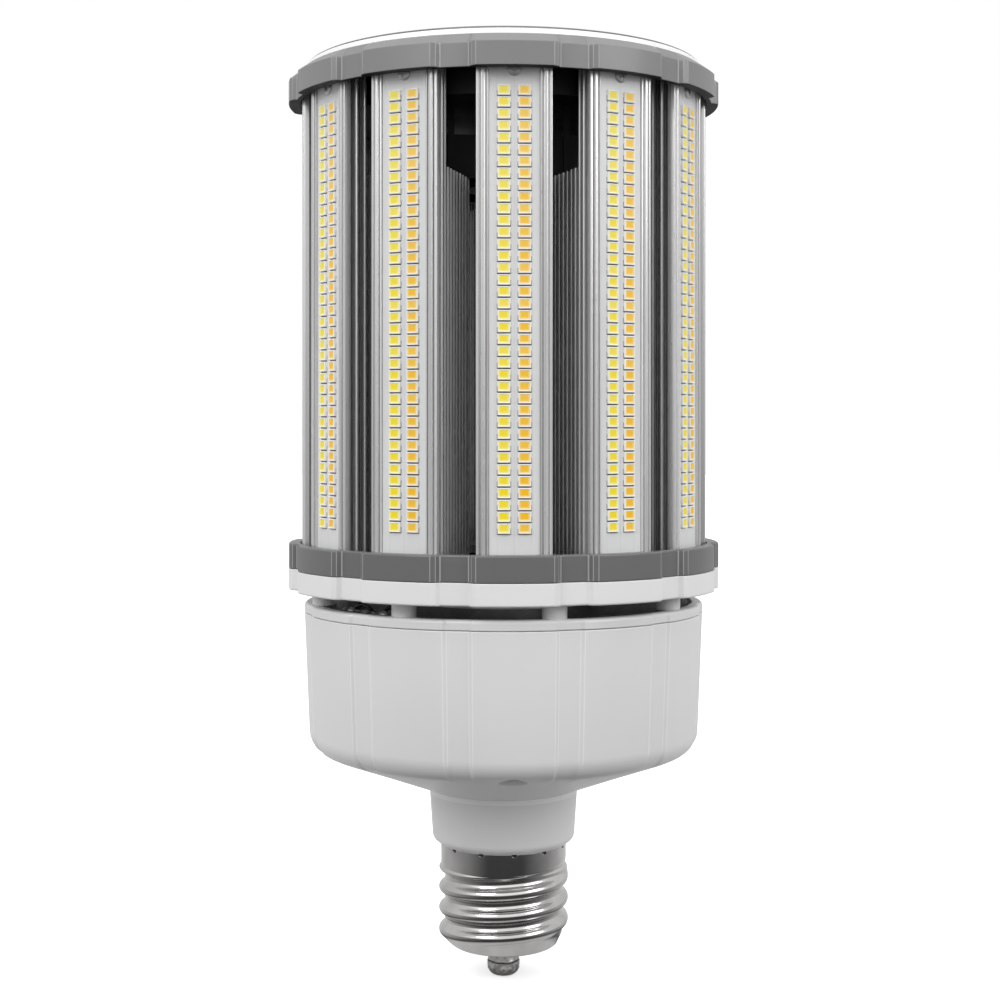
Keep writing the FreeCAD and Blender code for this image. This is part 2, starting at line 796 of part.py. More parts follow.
def makeTopClamp(star):
    outer = "ring_dia / 2"
    lip = f"({lensRadius} + bar_clearance)"
    under = f"{topRingTop} - top_ring_lip"

    def outline(radius):
        return [
            (radius, topRingBottom),
            (radius, topRingShoulder),
            (f"{outer} - top_ring_bevel_width", topRingTop),
            (lip, topRingTop),
            (lip, under),
            (barCorner, under),
            (barCorner, topRingBottom),
        ]
    plain = revolved("top_clamp_plain", outline(f"({outer} - ring_recess)"))
    full = revolved("top_clamp_full", outline(outer))
    keep(lobed("top_clamp", star, plain, full), "top_clamp_ring")


# Finned bars
def barCorners():
    """Half of the bar's section, from the board channel out to the rail and back by the fins."""
    channel = "(channel_width / 2)"
    side = "(bar_width / 2)"
    bead = f"({side} - rail_shoulder)"
    step = f"({barFace} - rail_step)"
    plateBack = f"({channelFloor} - plate_thick)"
    web = "(web_thick / 2)"
    root = "(web_root_thick / 2)"
    corners = [
        ("0", channelFloor),
        (channel, channelFloor),
        (channel, f"{step} + rail_chamfer"),
        (f"{bead} - rail_bead_width - rail_lip_gap", f"{step} + rail_lip_rise"),
        (f"{bead} - rail_bead_width - rail_lip_gap / 3", f"{step} + rail_chamfer"),
        (f"{bead} - rail_bead_width", f"{barFace} - 0.75 * rail_bevel"),
        (f"{bead} - rail_bead_width + rail_bevel", barFace),
        (f"{bead} - rail_bevel", barFace),
        (bead, f"{barFace} - 0.75 * rail_bevel"),
        (bead, step),
        (side, f"{step} - rail_chamfer"),
        (side, f"{step} - edge_thick"),
        (f"{side} - edge_thick", plateBack),
    ]
    for i in range(round(value("fin_count"))):
        outerFace = f"({firstFin} - {i} * fin_pitch)"
        stem = root if value(outerFace) > value(notchFace) else web
        width = f"(fin_half_width - {i} * fin_taper)"
        if i == 0:
            corners.append((stem, plateBack))
        corners.append((stem, outerFace))
        corners.append((width, outerFace))
        corners.append((width, f"{outerFace} - fin_thick"))
        if value(f"{outerFace} - fin_pitch") > value(notchFace) or stem == web:
            corners.append((stem, f"{outerFace} - fin_thick"))
        else:
            corners.append((web, f"{outerFace} - fin_thick"))
    last = corners.pop()
    corners.append(("0", last[1]))
    return corners


def makeBarMaster():
    half = extruded("bar_half", barCorners(), barBottom, barLength)
    other = doc.addObject("Part::Mirroring", "bar_other_half")
    other.Source = half
    other.Normal = Vector(1, 0, 0)
    whole = fused("bar_whole", half, other)
    notch = box("bar_notch", "bar_width + 2 * cut_overshoot", notchFace, "notch_height + cut_overshoot",
                "-bar_width / 2 - cut_overshoot", "0", notchFloor)
    port = cylinder("bar_port", "screw_port_dia", f"{barBottom} - cut_overshoot",
                    f"{barLength} + 2 * cut_overshoot", "0", screwPort)
    hole = stripScrewBore("bar_tap")
    return cut("bar_master", whole, notch, port, hole)


def stripScrewBore(name):
    """The hole for the small screw at the head of a strip, square to the board."""
    hole = doc.addObject("Part::Cylinder", name)
    bind(hole, Radius="strip_screw_dia / 2", Height="strip_screw_length")
    hole.Placement.Rotation = Rotation(Vector(1, 0, 0), -90)
    reach = f"{boardFace} - strip_screw_length"
    return bind(hole, Placement__Base__y=reach, Placement__Base__z=f"{barTop} - strip_screw_drop")


def makeBoardMaster():
    plate = box("board_plate", "board_width", "board_thick", barLength,
                "-board_width / 2", channelFloor, barBottom)
    return cut("board_master", plate, stripScrewBore("board_hole"))


def makeLedMaster():
    """Two columns of light emitters, as separate solids on the face of the board."""
    grid = doc.addObject("Part::Feature", "led_grid")
    package = Part.makeBox(value("led_width"), value("led_thick"), value("led_height"))
    first = value(f"{barTop} - led_first_drop - led_height / 2")
    packages = []
    rows = math.floor(value(f"({barLength} - led_first_drop - led_foot_margin) / led_pitch")) + 1
    for row in range(rows):
        for side in (-1, 1):
            spot = Vector(
                side * value("led_column_gap / 2") - value("led_width / 2"),
                value(boardFace),
                first - row * value("led_pitch"),
            )
            packages.append(package.translated(spot))
    grid.Shape = Part.makeCompound(packages)
    return grid


def makeStripScrewMaster():
    """A low round-head screw at the head of a strip."""
    shank = stripScrewBore("strip_screw_shank")
    head = doc.addObject("Part::Cylinder", "strip_screw_head")
    bind(head, Radius="strip_screw_head_dia / 2", Height="strip_screw_head_height")
    head.Placement.Rotation = Rotation(Vector(1, 0, 0), -90)
    bind(head, Placement__Base__y=boardFace, Placement__Base__z=f"{barTop} - strip_screw_drop")
    return fused("strip_screw", shank, head)


def makeStrips():
    """The bars, each with its board and emitters. The first faces -Y, the others follow anticlockwise."""
    masters = {
        "heatsink_bar": makeBarMaster(),
        "led_board": makeBoardMaster(),
        "led_packages": makeLedMaster(),
    }
    for i in range(round(value("strip_count"))):
        turn = Rotation(Vector(0, 0, 1), 180 + value(f"{i} * {stripStep}"))
        for name, master in masters.items():
            copy = doc.addObject("Part::Compound", f"{name}_copy_{i + 1:02d}")
            copy.Links = [master]
            copy.Placement.Rotation = turn
            keep(copy, f"{name}_{i + 1:02d}")
    keep(ringOf("strip_screw_ring", makeStripScrewMaster(), "strip_count", "180"), "strip_screws")


# Screws into the ends of the bars
def endScrewHoles(name, bottom, depth):
    holes = []
    for i, (x, y) in enumerate(spotsRound("strip_count", screwPort)):
        holes.append(cylinder(f"{name}_hole_{i + 1}", "screw_port_dia", bottom, depth, x, y))
    return holes


def makeEndScrews():
    for label, seat, headUp in (
        ("clamp_screws", f"({barBottom} - clamp_deck)", False),
        ("plate_screws", plateTop, True),
    ):
        screws = []
        for i, (x, y) in enumerate(spotsRound("strip_count", screwPort)):
            screws.append(screw(f"{label}_{i + 1}", x, y, seat, headUp, "end_screw_dia", "end_screw_length",
                                "end_screw_head_dia", "end_screw_head_height"))
        group(label, screws)


# Top end
def makeTopEnd():
    disc = cylinder("top_plate_disc", f"2 * {barCorner} - bar_clearance", barTop, "top_plate_thick")
    keep(cut("top_plate_cut", disc, *endScrewHoles("plate", barTop, "top_plate_thick")), "top_plate")
    board = cylinder("top_board_disc", f"2 * {topBoardRadius}", plateTop, "top_board_thick")
    keep(board, "top_led_board")
    face = value(f"{plateTop} + top_board_thick")
    package = Part.makeBox(value("led_width"), value("led_height"), value("led_thick"))
    package.translate(Vector(-value("led_width / 2"), -value("led_height / 2"), face))
    packages = []
    first = "top_led_first_circle / 2"
    spacing = f"({topBoardRadius} - top_led_inset - {first}) / (top_led_rings - 1)"
    for ring in range(round(value("top_led_rings"))):
        circle = value(f"{first} + {ring} * {spacing}")
        count = round(value(f"top_led_first_count * ({ring} + 1)"))
        for i in range(count):
            angle = 360 * i / count
            turned = package.translated(Vector(0, -circle, 0))
            turned.rotate(Vector(), Vector(0, 0, 1), angle)
            packages.append(turned)
    leds = doc.addObject("Part::Feature", "top_led_group")
    leds.Shape = Part.makeCompound(packages)
    keep(leds, "top_leds")
    flange = f"({lensRadius} + lens_flange_width)"
    bore = f"({lensRadius} - lens_wall)"
    top = f"({plateTop} + lens_height)"
    body = newBody("top_lens_body")
    bodyRevolution(body, "lens_turning", [
        ("0", top),
        (lensRadius, top, "lens_round"),
        (lensRadius, f"{plateTop} + lens_flange_height"),
        (flange, f"{plateTop} + lens_flange_height"),
        (flange, plateTop),
        (bore, plateTop),
        (bore, f"{top} - lens_wall"),
        ("0", f"{top} - lens_wall"),
    ])
    keep(body, "top_lens")


# Fan
fanHole = "(fan_hole_spacing / 2)"
fanHoles = [(x, y) for x in (fanHole, f"-{fanHole}") for y in (fanHole, f"-{fanHole}")]


def makeFanFrame():
    body = newBody("fan_frame_body")
    half = "(fan_side / 2)"
    sketch = bodySketch(body, "fan_frame_outline", "XY_Plane")
    addOutline(sketch, [
        (f"-{half}", f"-{half}", "fan_corner_round"),
        (half, f"-{half}", "fan_corner_round"),
        (half, half, "fan_corner_round"),
        (f"-{half}", half, "fan_corner_round"),
    ])
    addCircle(sketch, "0", "0", "fan_bore_dia / 2")
    for x, y in fanHoles:
        addCircle(sketch, x, y, "fan_hole_dia / 2")
    pad = body.newObject("PartDesign::Pad", "fan_frame_pad")
    pad.Profile = sketch
    bind(pad, Length="fan_height")
    strut = bodySketch(body, "fan_strut_outline", "XY_Plane")
    addOutline(strut, [
        ("-fan_strut_width / 2", "0"),
        ("fan_strut_width / 2", "0"),
        ("fan_strut_width / 2", "fan_bore_dia / 2 + fan_strut_overlap"),
        ("-fan_strut_width / 2", "fan_bore_dia / 2 + fan_strut_overlap"),
    ])
    arm = body.newObject("PartDesign::Pad", "fan_strut")
    arm.Profile = strut
    bind(arm, Length="fan_hub_disc")
    polar(body, "fan_struts", arm, "fan_strut_count")
    hub = bodySketch(body, "fan_hub_outline", "XY_Plane")
    addCircle(hub, "0", "0", "fan_hub_disc_dia / 2")
    disc = body.newObject("PartDesign::Pad", "fan_hub_disc")
    disc.Profile = hub
    bind(disc, Length="fan_hub_disc")
    boss = bodySketch(body, "bearing_outline", "XY_Plane")
    addCircle(boss, "0", "0", "bearing_dia / 2")
    bearing = body.newObject("PartDesign::Pad", "bearing_boss")
    bearing.Profile = boss
    bind(bearing, Length="fan_hub_disc + bearing_height")
    bore = bodySketch(body, "bearing_bore_outline", "XY_Plane", "fan_hub_disc / 2")
    addCircle(bore, "0", "0", "shaft_dia / 2 + shaft_clearance")
    pocket = body.newObject("PartDesign::Pocket", "bearing_bore")
    pocket.Profile = bore
    pocket.Reversed = True
    bind(pocket, Length="fan_height")
    body.Tip = pocket
    bind(body, Placement__Base__z=notchFloor)
    keep(body, "fan_frame")


def addBladeSection(sketch, chord, angle, height):
    """A cambered blade section: two arcs a blade's thickness apart, closed at both edges."""
    lean = math.radians(value(angle))
    reach = value(chord) / 2
    thick = value("blade_thick") / 2
    camber = value("blade_camber")
    level = value(height)

    def spot(along, above):
        x = along * math.cos(lean) - above * math.sin(lean)
        y = along * math.sin(lean) + above * math.cos(lean)
        return Vector(x, level + y, 0)

    sketch.addGeometry([
        Part.Arc(spot(-reach, thick), spot(0, camber + thick), spot(reach, thick)),
        Part.LineSegment(spot(reach, thick), spot(reach, -thick)),
        Part.Arc(spot(reach, -thick), spot(0, camber - thick), spot(-reach, -thick)),
        Part.LineSegment(spot(-reach, -thick), spot(-reach, thick)),
    ])


def makeFanRotor():
    """Hub, shaft and cambered blades. A blade is lofted from inside the hub's wall out to its tip."""
    body = newBody("fan_rotor_body")
    hub = "rotor_hub_dia / 2"
    low = "fan_hub_disc + rotor_gap"
    top = "fan_height - rotor_gap"
    bodyRevolution(body, "rotor_hub", [
        ("0", "fan_hub_disc / 2 + rotor_gap / 2"),
        ("shaft_dia / 2", "fan_hub_disc / 2 + rotor_gap / 2"),
        ("shaft_dia / 2", f"{top} - rotor_hub_wall"),
        (f"{hub} - rotor_hub_wall", f"{top} - rotor_hub_wall"),
        (f"{hub} - rotor_hub_wall", low),
        (hub, low),
        (hub, top, "rotor_hub_round"),
        ("0", top),
    ])
    middle = "(fan_height + fan_hub_disc) / 2"
    root = bodySketch(body, "blade_root", "XZ_Plane", f"-({hub} - rotor_hub_wall / 2)")
    addBladeSection(root, "blade_root_chord", "blade_root_angle", middle)
    reach = "sqrt((rotor_dia / 2) ^ 2 - (blade_tip_chord / 2) ^ 2)"
    tip = bodySketch(body, "blade_tip", "XZ_Plane", f"-({reach})")
    addBladeSection(tip, "blade_tip_chord", "blade_tip_angle", middle)
    blade = body.newObject("PartDesign::AdditiveLoft", "blade")
    blade.Profile = root
    blade.Sections = [tip]
    polar(body, "blades", blade, "blade_count")
    bind(body, Placement__Base__z=notchFloor)
    keep(body, "fan_rotor")


def makeFanCarrier():
    """A shallow pan under the top plate, with round posts and thin legs that reach down to the fan."""
    radius = f"({notchFace} - carrier_clearance)"
    pan = revolved("carrier_pan", [
        ("0", carrierBottom),
        (radius, carrierBottom),
        (radius, barTop),
        (f"{radius} - carrier_wall", barTop),
        (f"{radius} - carrier_wall", f"{carrierBottom} + carrier_wall"),
        ("0", f"{carrierBottom} + carrier_wall"),
    ])
    fanTop = f"({notchFloor} + fan_height)"
    added = [pan]
    bores = []
    for i, (x, y) in enumerate(fanHoles):
        added.append(cylinder(f"carrier_post_{i + 1}", "carrier_post_dia", fanTop,
                              f"{carrierBottom} - {fanTop} + carrier_wall", x, y))
        bores.append(cylinder(f"carrier_bore_{i + 1}", "fan_screw_dia", fanTop,
                              "fan_screw_length - fan_height", x, y))
    legHeight = f"({carrierBottom} - {notchFloor} + carrier_wall - carrier_leg_lift)"
    leg = box("carrier_leg", "carrier_leg_width", "carrier_leg_depth", legHeight,
              "carrier_leg_spacing / 2 - carrier_leg_width / 2", "fan_side / 2 + carrier_leg_gap",
              f"{notchFloor} + carrier_leg_lift")
    twin = doc.addObject("Part::Mirroring", "carrier_leg_twin")
    twin.Source = leg
    twin.Normal = Vector(1, 0, 0)
    legs = doc.addObject("Part::Compound", "carrier_leg_pair")
    legs.Links = [leg, twin]
    added.append(ringOf("carrier_legs", legs, "carrier_sides"))
    keep(cut("fan_carrier_cut", fused("carrier_solid", *added), *bores), "fan_carrier")


def makeFanScrews():
    screws = []
    for i, (x, y) in enumerate(fanHoles):
        screws.append(screw(f"fan_screw_{i + 1}", x, y, notchFloor, False, "fan_screw_dia",
                            "fan_screw_length", "fan_screw_head_dia", "fan_screw_head_height"))
    group("fan_screws", screws)


def checkDocument():
    """Stops with a message if any object failed, or if a piece has no sound solid."""
    doc.recompute()
    faults = [o.Label for o in doc.Objects if "Invalid" in o.State or "Error" in o.State]
    if faults:
        raise RuntimeError("failed objects: " + ", ".join(faults))
    for label, node in nodes.items():
        shape = node.Shape
        if shape.isNull() or not shape.isValid() or not shape.Solids:
            raise RuntimeError("no sound solid in " + label)
        print(f"{label}: {len(shape.Solids)} solid, {shape.Volume / 1000:.2f} cm3")


def exportNodes():
    os.makedirs("parts", exist_ok=True)
    for label, node in nodes.items():
        node.Shape.exportStep(f"parts/{label}.step")


fillSheet()
ringStar = makeFlankStar("ring_star", "(ring_dia / 2)", "ring_flank_half", "ring_flank_lean")
housingStar = makeFlankStar("housing_star", rimRadius, "housing_flank_half", "housing_flank_lean")
makeEndContact()
makeInsulator()
makeScrewShell()
makeHousing(housingStar)
makeLidScrews()
makeLid(housingStar)
makeDriver()
makeWiringBoard()
makeSeatRing(ringStar)
makeBottomClamp(ringStar)
makeTopClamp(ringStar)
makeStrips()
makeEndScrews()
makeTopEnd()
makeFanFrame()
makeFanRotor()
makeFanCarrier()
makeFanScrews()
checkDocument()
exportNodes()
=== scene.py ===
import math

import bmesh
import bpy
from mathutils import Matrix, Vector


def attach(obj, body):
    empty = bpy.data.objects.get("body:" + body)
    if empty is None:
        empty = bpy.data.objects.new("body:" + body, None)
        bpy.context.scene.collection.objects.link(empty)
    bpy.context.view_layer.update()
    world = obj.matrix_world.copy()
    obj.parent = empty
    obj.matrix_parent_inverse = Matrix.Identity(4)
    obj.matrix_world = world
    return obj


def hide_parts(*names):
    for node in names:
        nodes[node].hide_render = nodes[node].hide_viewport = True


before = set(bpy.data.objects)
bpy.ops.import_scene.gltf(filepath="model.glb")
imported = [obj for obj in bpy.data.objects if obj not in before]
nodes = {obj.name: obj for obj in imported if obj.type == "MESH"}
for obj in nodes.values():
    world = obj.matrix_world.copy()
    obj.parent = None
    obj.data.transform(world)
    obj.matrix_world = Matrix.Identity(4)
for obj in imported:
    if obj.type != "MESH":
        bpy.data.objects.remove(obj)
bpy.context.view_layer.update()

print("frame loaded:", len(nodes), "nodes")

mm = 0.001    # pieces are drawn in millimetres, and Blender's unit is the metre
lobeCount = 12    # lobes of the rings and the housing, one in front of each strip
lobePitch = 360 / lobeCount


class Signal:    # a shader socket that takes + - * / < > and gives Math nodes
    def __init__(self, finish, socket):
        self.finish = finish
        self.socket = socket

    def maths(self, operation, first, second=0.0):
        return self.finish.node("Math", {"operation": operation}, {0: first, 1: second})

    def __add__(self, other):
        return self.maths("ADD", self, other)

    def __radd__(self, other):
        return self.maths("ADD", other, self)

    def __sub__(self, other):
        return self.maths("SUBTRACT", self, other)

    def __rsub__(self, other):
        return self.maths("SUBTRACT", other, self)

    def __mul__(self, other):
        return self.maths("MULTIPLY", self, other)

    def __rmul__(self, other):
        return self.maths("MULTIPLY", other, self)

    def __truediv__(self, other):
        return self.maths("DIVIDE", self, other)

    def __rtruediv__(self, other):
        return self.maths("DIVIDE", other, self)

    def __lt__(self, other):
        return self.maths("LESS_THAN", self, other)

    def __gt__(self, other):
        return self.maths("GREATER_THAN", self, other)

    def floor(self):
        return self.maths("FLOOR", self)

    def distance(self, other):
        return self.maths("ABSOLUTE", self - other)

    def larger(self, other):
        return self.maths("MAXIMUM", self, other)

    def root(self):
        return self.maths("SQRT", self)


class Finish:    # a material or world in the making; node() adds all its nodes
    def __init__(self, owner):
        self.owner = owner
        owner.use_nodes = True
        self.tree = owner.node_tree
        self.tree.nodes.clear()

    def node(self, kind, settings=None, sockets=None, out=0):
        made = self.tree.nodes.new("ShaderNode" + kind)
        for key, choice in (settings or {}).items():
            setattr(made, key, choice)
        for key, given in (sockets or {}).items():
            if isinstance(given, Signal):
                self.tree.links.new(given.socket, made.inputs[key])
            else:
                made.inputs[key].default_value = given
        return Signal(self, made.outputs[out]) if made.outputs else None

    def spot(self, axis, space="Object"):    # one coordinate of the object in metres, or of a direction
        return self.node("SeparateXYZ", None, {0: self.node("TexCoord", out=space)}, out=axis)

    def drawn(self, layer, axis):    # one coordinate of a piece's own UV map
        return self.node("SeparateXYZ", None, {0: self.node("UVMap", {"uv_map": layer})}, out=axis)

    def noise(self, scale, detail, stretch=(1, 1, 1), roughness=0.5):
        place = self.node("Mapping", None, {"Vector": self.node("TexCoord", out="Object"), "Scale": stretch})
        return self.node("TexNoise", None, {"Vector": place, "Scale": scale, "Detail": detail,
                                            "Roughness": roughness})

    def spread(self, value, low, high, lowest=0.0, highest=1.0):
        return self.node("MapRange", None, {"Value": value, "From Min": low, "From Max": high,
                                            "To Min": lowest, "To Max": highest})

    def blend(self, amount, first, second):
        return self.node("Mix", {"data_type": "RGBA"}, {0: amount, 6: first, 7: second}, out=2)

    def bump(self, height, strength, distance):
        return self.node("Bump", None, {"Height": height, "Strength": strength, "Distance": distance})

    def mixed(self, amount, first, second):    # two shaders, as a Mix Shader
        return self.node("MixShader", None, {0: amount, 1: first, 2: second})

    def shade(self, **sockets):    # closes the material with one Principled shader
        named = {"baseColor": "Base Color", "roughness": "Roughness", "metallic": "Metallic",
                 "normal": "Normal", "coat": "Coat Weight", "coatRoughness": "Coat Roughness",
                 "ior": "IOR", "transmission": "Transmission Weight", "specular": "Specular IOR Level",
                 "emission": "Emission Color", "strength": "Emission Strength"}
        shader = self.node("BsdfPrincipled", None, {named[key]: given for key, given in sockets.items()})
        self.node("OutputMaterial", None, {"Surface": shader})
        return self.owner


def finishOf(name):
    return Finish(bpy.data.materials.new(name))


def linear(level):    # a display level of 0 to 255 as linear light
    part = level / 255
    return part / 12.92 if part < 0.04 else ((part + 0.055) / 1.055) ** 2.4


def grey(level, tint=(1, 1, 1)):
    return (linear(level) * tint[0], linear(level) * tint[1], linear(level) * tint[2], 1)


def display(red, green, blue):
    return (linear(red), linear(green), linear(blue), 1)


# Materials. Their lengths are in metres, as Object coordinates are.
def mouldedPlastic(name, level, roughness, grain=0.00002, coat=0.0, paintedGlow=0.0):
    look = finishOf(name)
    cloud = look.noise(18, 4)
    fine = look.noise(2600, 2)
    flow = look.noise(60, 3, (1, 1, 0.12))
    patches = look.spread(cloud * 0.6 + flow * 0.4, 0.2, 0.8)
    colour = look.blend(patches, grey(level * 0.98), grey(level * 1.012))
    gloss = look.spread(look.noise(45, 5), 0.15, 0.85, roughness - 0.05, roughness + 0.06)
    # painted glow: emission on a part that is no lamp
    glowing = {"emission": colour, "strength": paintedGlow} if paintedGlow else {}
    return look.shade(baseColor=colour, roughness=gloss, coat=coat, coatRoughness=0.12,
                      normal=look.bump(fine, 0.35, grain), **glowing)


def extrudedAluminium(name, level, roughness):
    look = finishOf(name)
    dieLines = look.noise(900, 2, (1, 1, 0.004), 0.6)
    wide = look.noise(260, 2, (1, 1, 0.02))
    marks = look.noise(30, 5)
    colour = look.blend(look.spread(dieLines * 0.6 + wide * 0.4, 0.35, 0.65),
                        grey(level * 0.86), grey(level * 1.04))
    gloss = look.spread(dieLines * 0.7 + marks * 0.3, 0.3, 0.7, roughness - 0.07, roughness + 0.09)
    return look.shade(baseColor=colour, metallic=0.62, roughness=gloss,
                      normal=look.bump(dieLines, 0.12, 0.00003))


def platedMetal(name, level, roughness, streak, tint=(1, 1, 1)):
    look = finishOf(name)
    rolled = look.noise(streak, 3, (0.05, 0.05, 1), 0.6)
    stain = look.noise(90, 5)
    colour = look.blend(look.spread(stain, 0.35, 0.7), grey(level, tint), grey(level * 0.88, tint))
    gloss = look.spread(stain * 0.5 + rolled * 0.5, 0.3, 0.7, roughness * 0.8, roughness * 1.3)
    return look.shade(baseColor=colour, metallic=1.0, roughness=gloss,
                      normal=look.bump(rolled, 0.04, 0.00003))


def blackFinish(name, level, roughness, dust):
    look = finishOf(name)
    fine = look.noise(1500, 3)
    cloud = look.noise(40, 4)
    colour = look.blend(look.spread(cloud, 0.45, 0.75) * dust, grey(level), grey(level + 26))
    gloss = look.spread(cloud, 0.3, 0.7, roughness - 0.06, roughness + 0.08)
    return look.shade(baseColor=colour, roughness=gloss, normal=look.bump(fine, 0.4, 0.00004))


def clearPlastic(name):
    look = finishOf(name)
    haze = look.noise(35, 4)
    return look.shade(baseColor=look.blend(look.spread(haze, 0.2, 0.8), grey(254), grey(250, (0.99, 1, 1))),
                      roughness=look.spread(haze, 0.2, 0.8, 0.02, 0.06), transmission=0.94, ior=1.4,
                      normal=look.bump(look.noise(90, 2), 0.02, 0.00001))


def laminate(name, board, copper):
    look = finishOf(name)
    cells = look.node("TexVoronoi", {"feature": "DISTANCE_TO_EDGE"},
                      {"Vector": look.node("TexCoord", out="Object"), "Scale": 240})
    weave = look.noise(1200, 2)
    colour = look.blend((cells < 0.09) * 0.7, board, copper)
    return look.shade(baseColor=colour, roughness=look.spread(weave, 0.3, 0.7, 0.32, 0.48),
                      normal=look.bump(cells * 0.5 + weave * 0.2, 0.3, 0.00005))


def darkCeramic(name):
    look = finishOf(name)
    cloud = look.noise(120, 5)
    colour = look.blend(look.spread(cloud, 0.35, 0.7), display(34, 24, 26), display(58, 44, 44))
    return look.shade(baseColor=colour, roughness=look.spread(cloud, 0.3, 0.7, 0.12, 0.3), coat=0.5,
                      coatRoughness=0.1, normal=look.bump(cloud, 0.2, 0.0001))


# Mesh helpers. In what follows, s is the piece's own dictionary.
def rounded(corners, steps):
    # a closed outline of (across, up) or (across, up, radius) corners, its rounds as short steps
    outline = []
    for i, corner in enumerate(corners):
        here = Vector(corner[:2])
        if len(corner) < 3:
            outline.append(here)
            continue
        back = (Vector(corners[i - 1][:2]) - here).normalized()
        ahead = (Vector(corners[(i + 1) % len(corners)][:2]) - here).normalized()
        half = back.angle(ahead) / 2
        centre = here + (back + ahead).normalized() * (corner[2] / math.sin(half))
        start = here + back * (corner[2] / math.tan(half)) - centre
        end = here + ahead * (corner[2] / math.tan(half)) - centre
        sweep = (math.atan2(end.y, end.x) - math.atan2(start.y, start.x) + math.pi) % math.tau - math.pi
        for k in range(steps + 1):
            outline.append(centre + Matrix.Rotation(sweep * k / steps, 2) @ start)
    return outline


def lathe(outline, steps, closed=True):
    # spins an outline of (radius, height) round the lamp's axis; its points are numbered in a layer
    bm = bmesh.new()
    row = bm.verts.layers.int.new("row")
    ring = [bm.verts.new((spot[0], 0, spot[1])) for spot in outline]
    for i, vert in enumerate(ring):
        vert[row] = i
    ends = list(zip(ring, ring[1:])) + ([(ring[-1], ring[0])] if closed else [])
    edges = [bm.edges.new(pair) for pair in ends]
    bmesh.ops.spin(bm, geom=ring + edges, cent=(0, 0, 0), axis=(0, 0, 1), angle=math.tau, steps=steps,
                   use_merge=True)
    bmesh.ops.remove_doubles(bm, verts=bm.verts, dist=0.0001)
    bmesh.ops.recalc_face_normals(bm, faces=bm.faces)
    return bm


def addBox(bm, centre, sides, turn=0.0):
    bmesh.ops.create_cube(bm, size=1, matrix=Matrix.Translation(centre) @ Matrix.Rotation(turn, 4, "Z")
                          @ Matrix.Diagonal((*sides, 1)))


def newVerts(made):    # the vertices that an operator has just made
    return [part for part in made["geom"] if isinstance(part, bmesh.types.BMVert)]


def turnRound(bm, angle, verts):    # turns vertices round the lamp's axis
    bmesh.ops.rotate(bm, cent=(0, 0, 0), matrix=Matrix.Rotation(angle, 3, "Z"), verts=verts)


def drawMap(bm, name, placeOf):
    # adds a UV map whose values are worked out from where each corner stands
    layer = bm.loops.layers.uv.new(name)
    for face in bm.faces:
        for loop in face.loops:
            loop[layer].uv = placeOf(loop.vert.co)


def addObject(name, data):
    made = bpy.data.objects.new(name, data)
    bpy.context.scene.collection.objects.link(made)
    return made


def meshObject(name, bm):
    mesh = bpy.data.meshes.new(name)
    bm.to_mesh(mesh)
    bm.free()
    return addObject(name, mesh)


def addPiece(name, bm, finish, node, sharp=38, weighted=True):
    # finishes and names a piece, which rides on the lamp and stands in for a CAD node, if one is given
    bmesh.ops.scale(bm, vec=(mm, mm, mm), verts=bm.verts)
    piece = meshObject(name, bm)
    piece.data.shade_smooth()
    piece.data.set_sharp_from_angle(angle=math.radians(sharp))
    for key in [finish] if isinstance(finish, str) else finish:
        piece.data.materials.append(finishes[key])
    if weighted:
        piece.modifiers.new("even shading", "WEIGHTED_NORMAL").keep_sharp = True
    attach(piece, "lamp")
    if node:
        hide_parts(node)
    return piece


def carve(piece, cutter, crossed=False):
    # cuts one object out of another and keeps only the result; a crossed cutter runs through itself
    cut = piece.modifiers.new("carve", "BOOLEAN")
    cut.operation = "DIFFERENCE"
    cut.solver = "EXACT"
    cut.use_self = crossed
    cut.object = cutter
    graph = bpy.context.evaluated_depsgraph_get()
    carved = bpy.data.meshes.new_from_object(piece.evaluated_get(graph))
    piece.modifiers.remove(cut)
    piece.data = carved
    bpy.data.objects.remove(cutter)


def spinCopies(bm, count, start):
    # copies a mesh to even stops round the axis, and turns them all by the starting angle
    base = list(bm.verts) + list(bm.edges) + list(bm.faces)
    for i in range(1, count):
        turnRound(bm, math.tau * i / count, newVerts(bmesh.ops.duplicate(bm, geom=base)))
    turnRound(bm, math.radians(start), bm.verts)


# Lobed rings: one lobe in front of each strip, a narrow recess between each two
ringShape = {
    "lobeRadius": 65.0, "recessDepth": 2.0, "lobeHalf": 9.4, "shoulderHalf": 10.6, "shoulderDrop": 0.7,
    "recessHalf": 3.65, "edgeRound": 0.45, "fitGap": 0.06, "highlightWidth": 0.26, "coreRadius": 28.0,
    "seatBottom": 118.0, "seatTop": 124.4, "seatFloor": 2.1, "seatBore": 61.0,
    "clampTop": 131.9, "clampStep": 3.0, "clampHollow": 1.9, "clampBore": 61.6,
    "topBottom": 263.4, "topShoulder": 270.0, "topTop": 272.8, "topStep": 2.4, "topBore": 59.8,
    "bevelRadius": 61.0,
}


def sectorStops(s, radius):
    # places round one sector, as degrees from the middle of its lobe and how far into the recess
    arc = math.radians(1) * radius
    longestStep = 2.2
    half = rounded([(0, 0), (s["lobeHalf"] * arc, 0, s["edgeRound"]),
                    (s["shoulderHalf"] * arc, s["shoulderDrop"], s["edgeRound"]),
                    ((lobePitch / 2 - s["recessHalf"]) * arc, s["recessDepth"], s["edgeRound"]),
                    (lobePitch / 2 * arc, s["recessDepth"])], 3)
    fine = []
    for here, ahead in zip(half, half[1:]):
        parts = max(1, math.ceil((ahead - here).length / longestStep))
        fine += [here.lerp(ahead, k / parts) for k in range(parts)]
    right = [(spot.x / arc, spot.y / s["recessDepth"]) for spot in fine[1:]]
    left = [(-turn, share) for turn, share in reversed(right)]
    return [(-lobePitch / 2, 1.0)] + left + [(0.0, 0.0)] + right


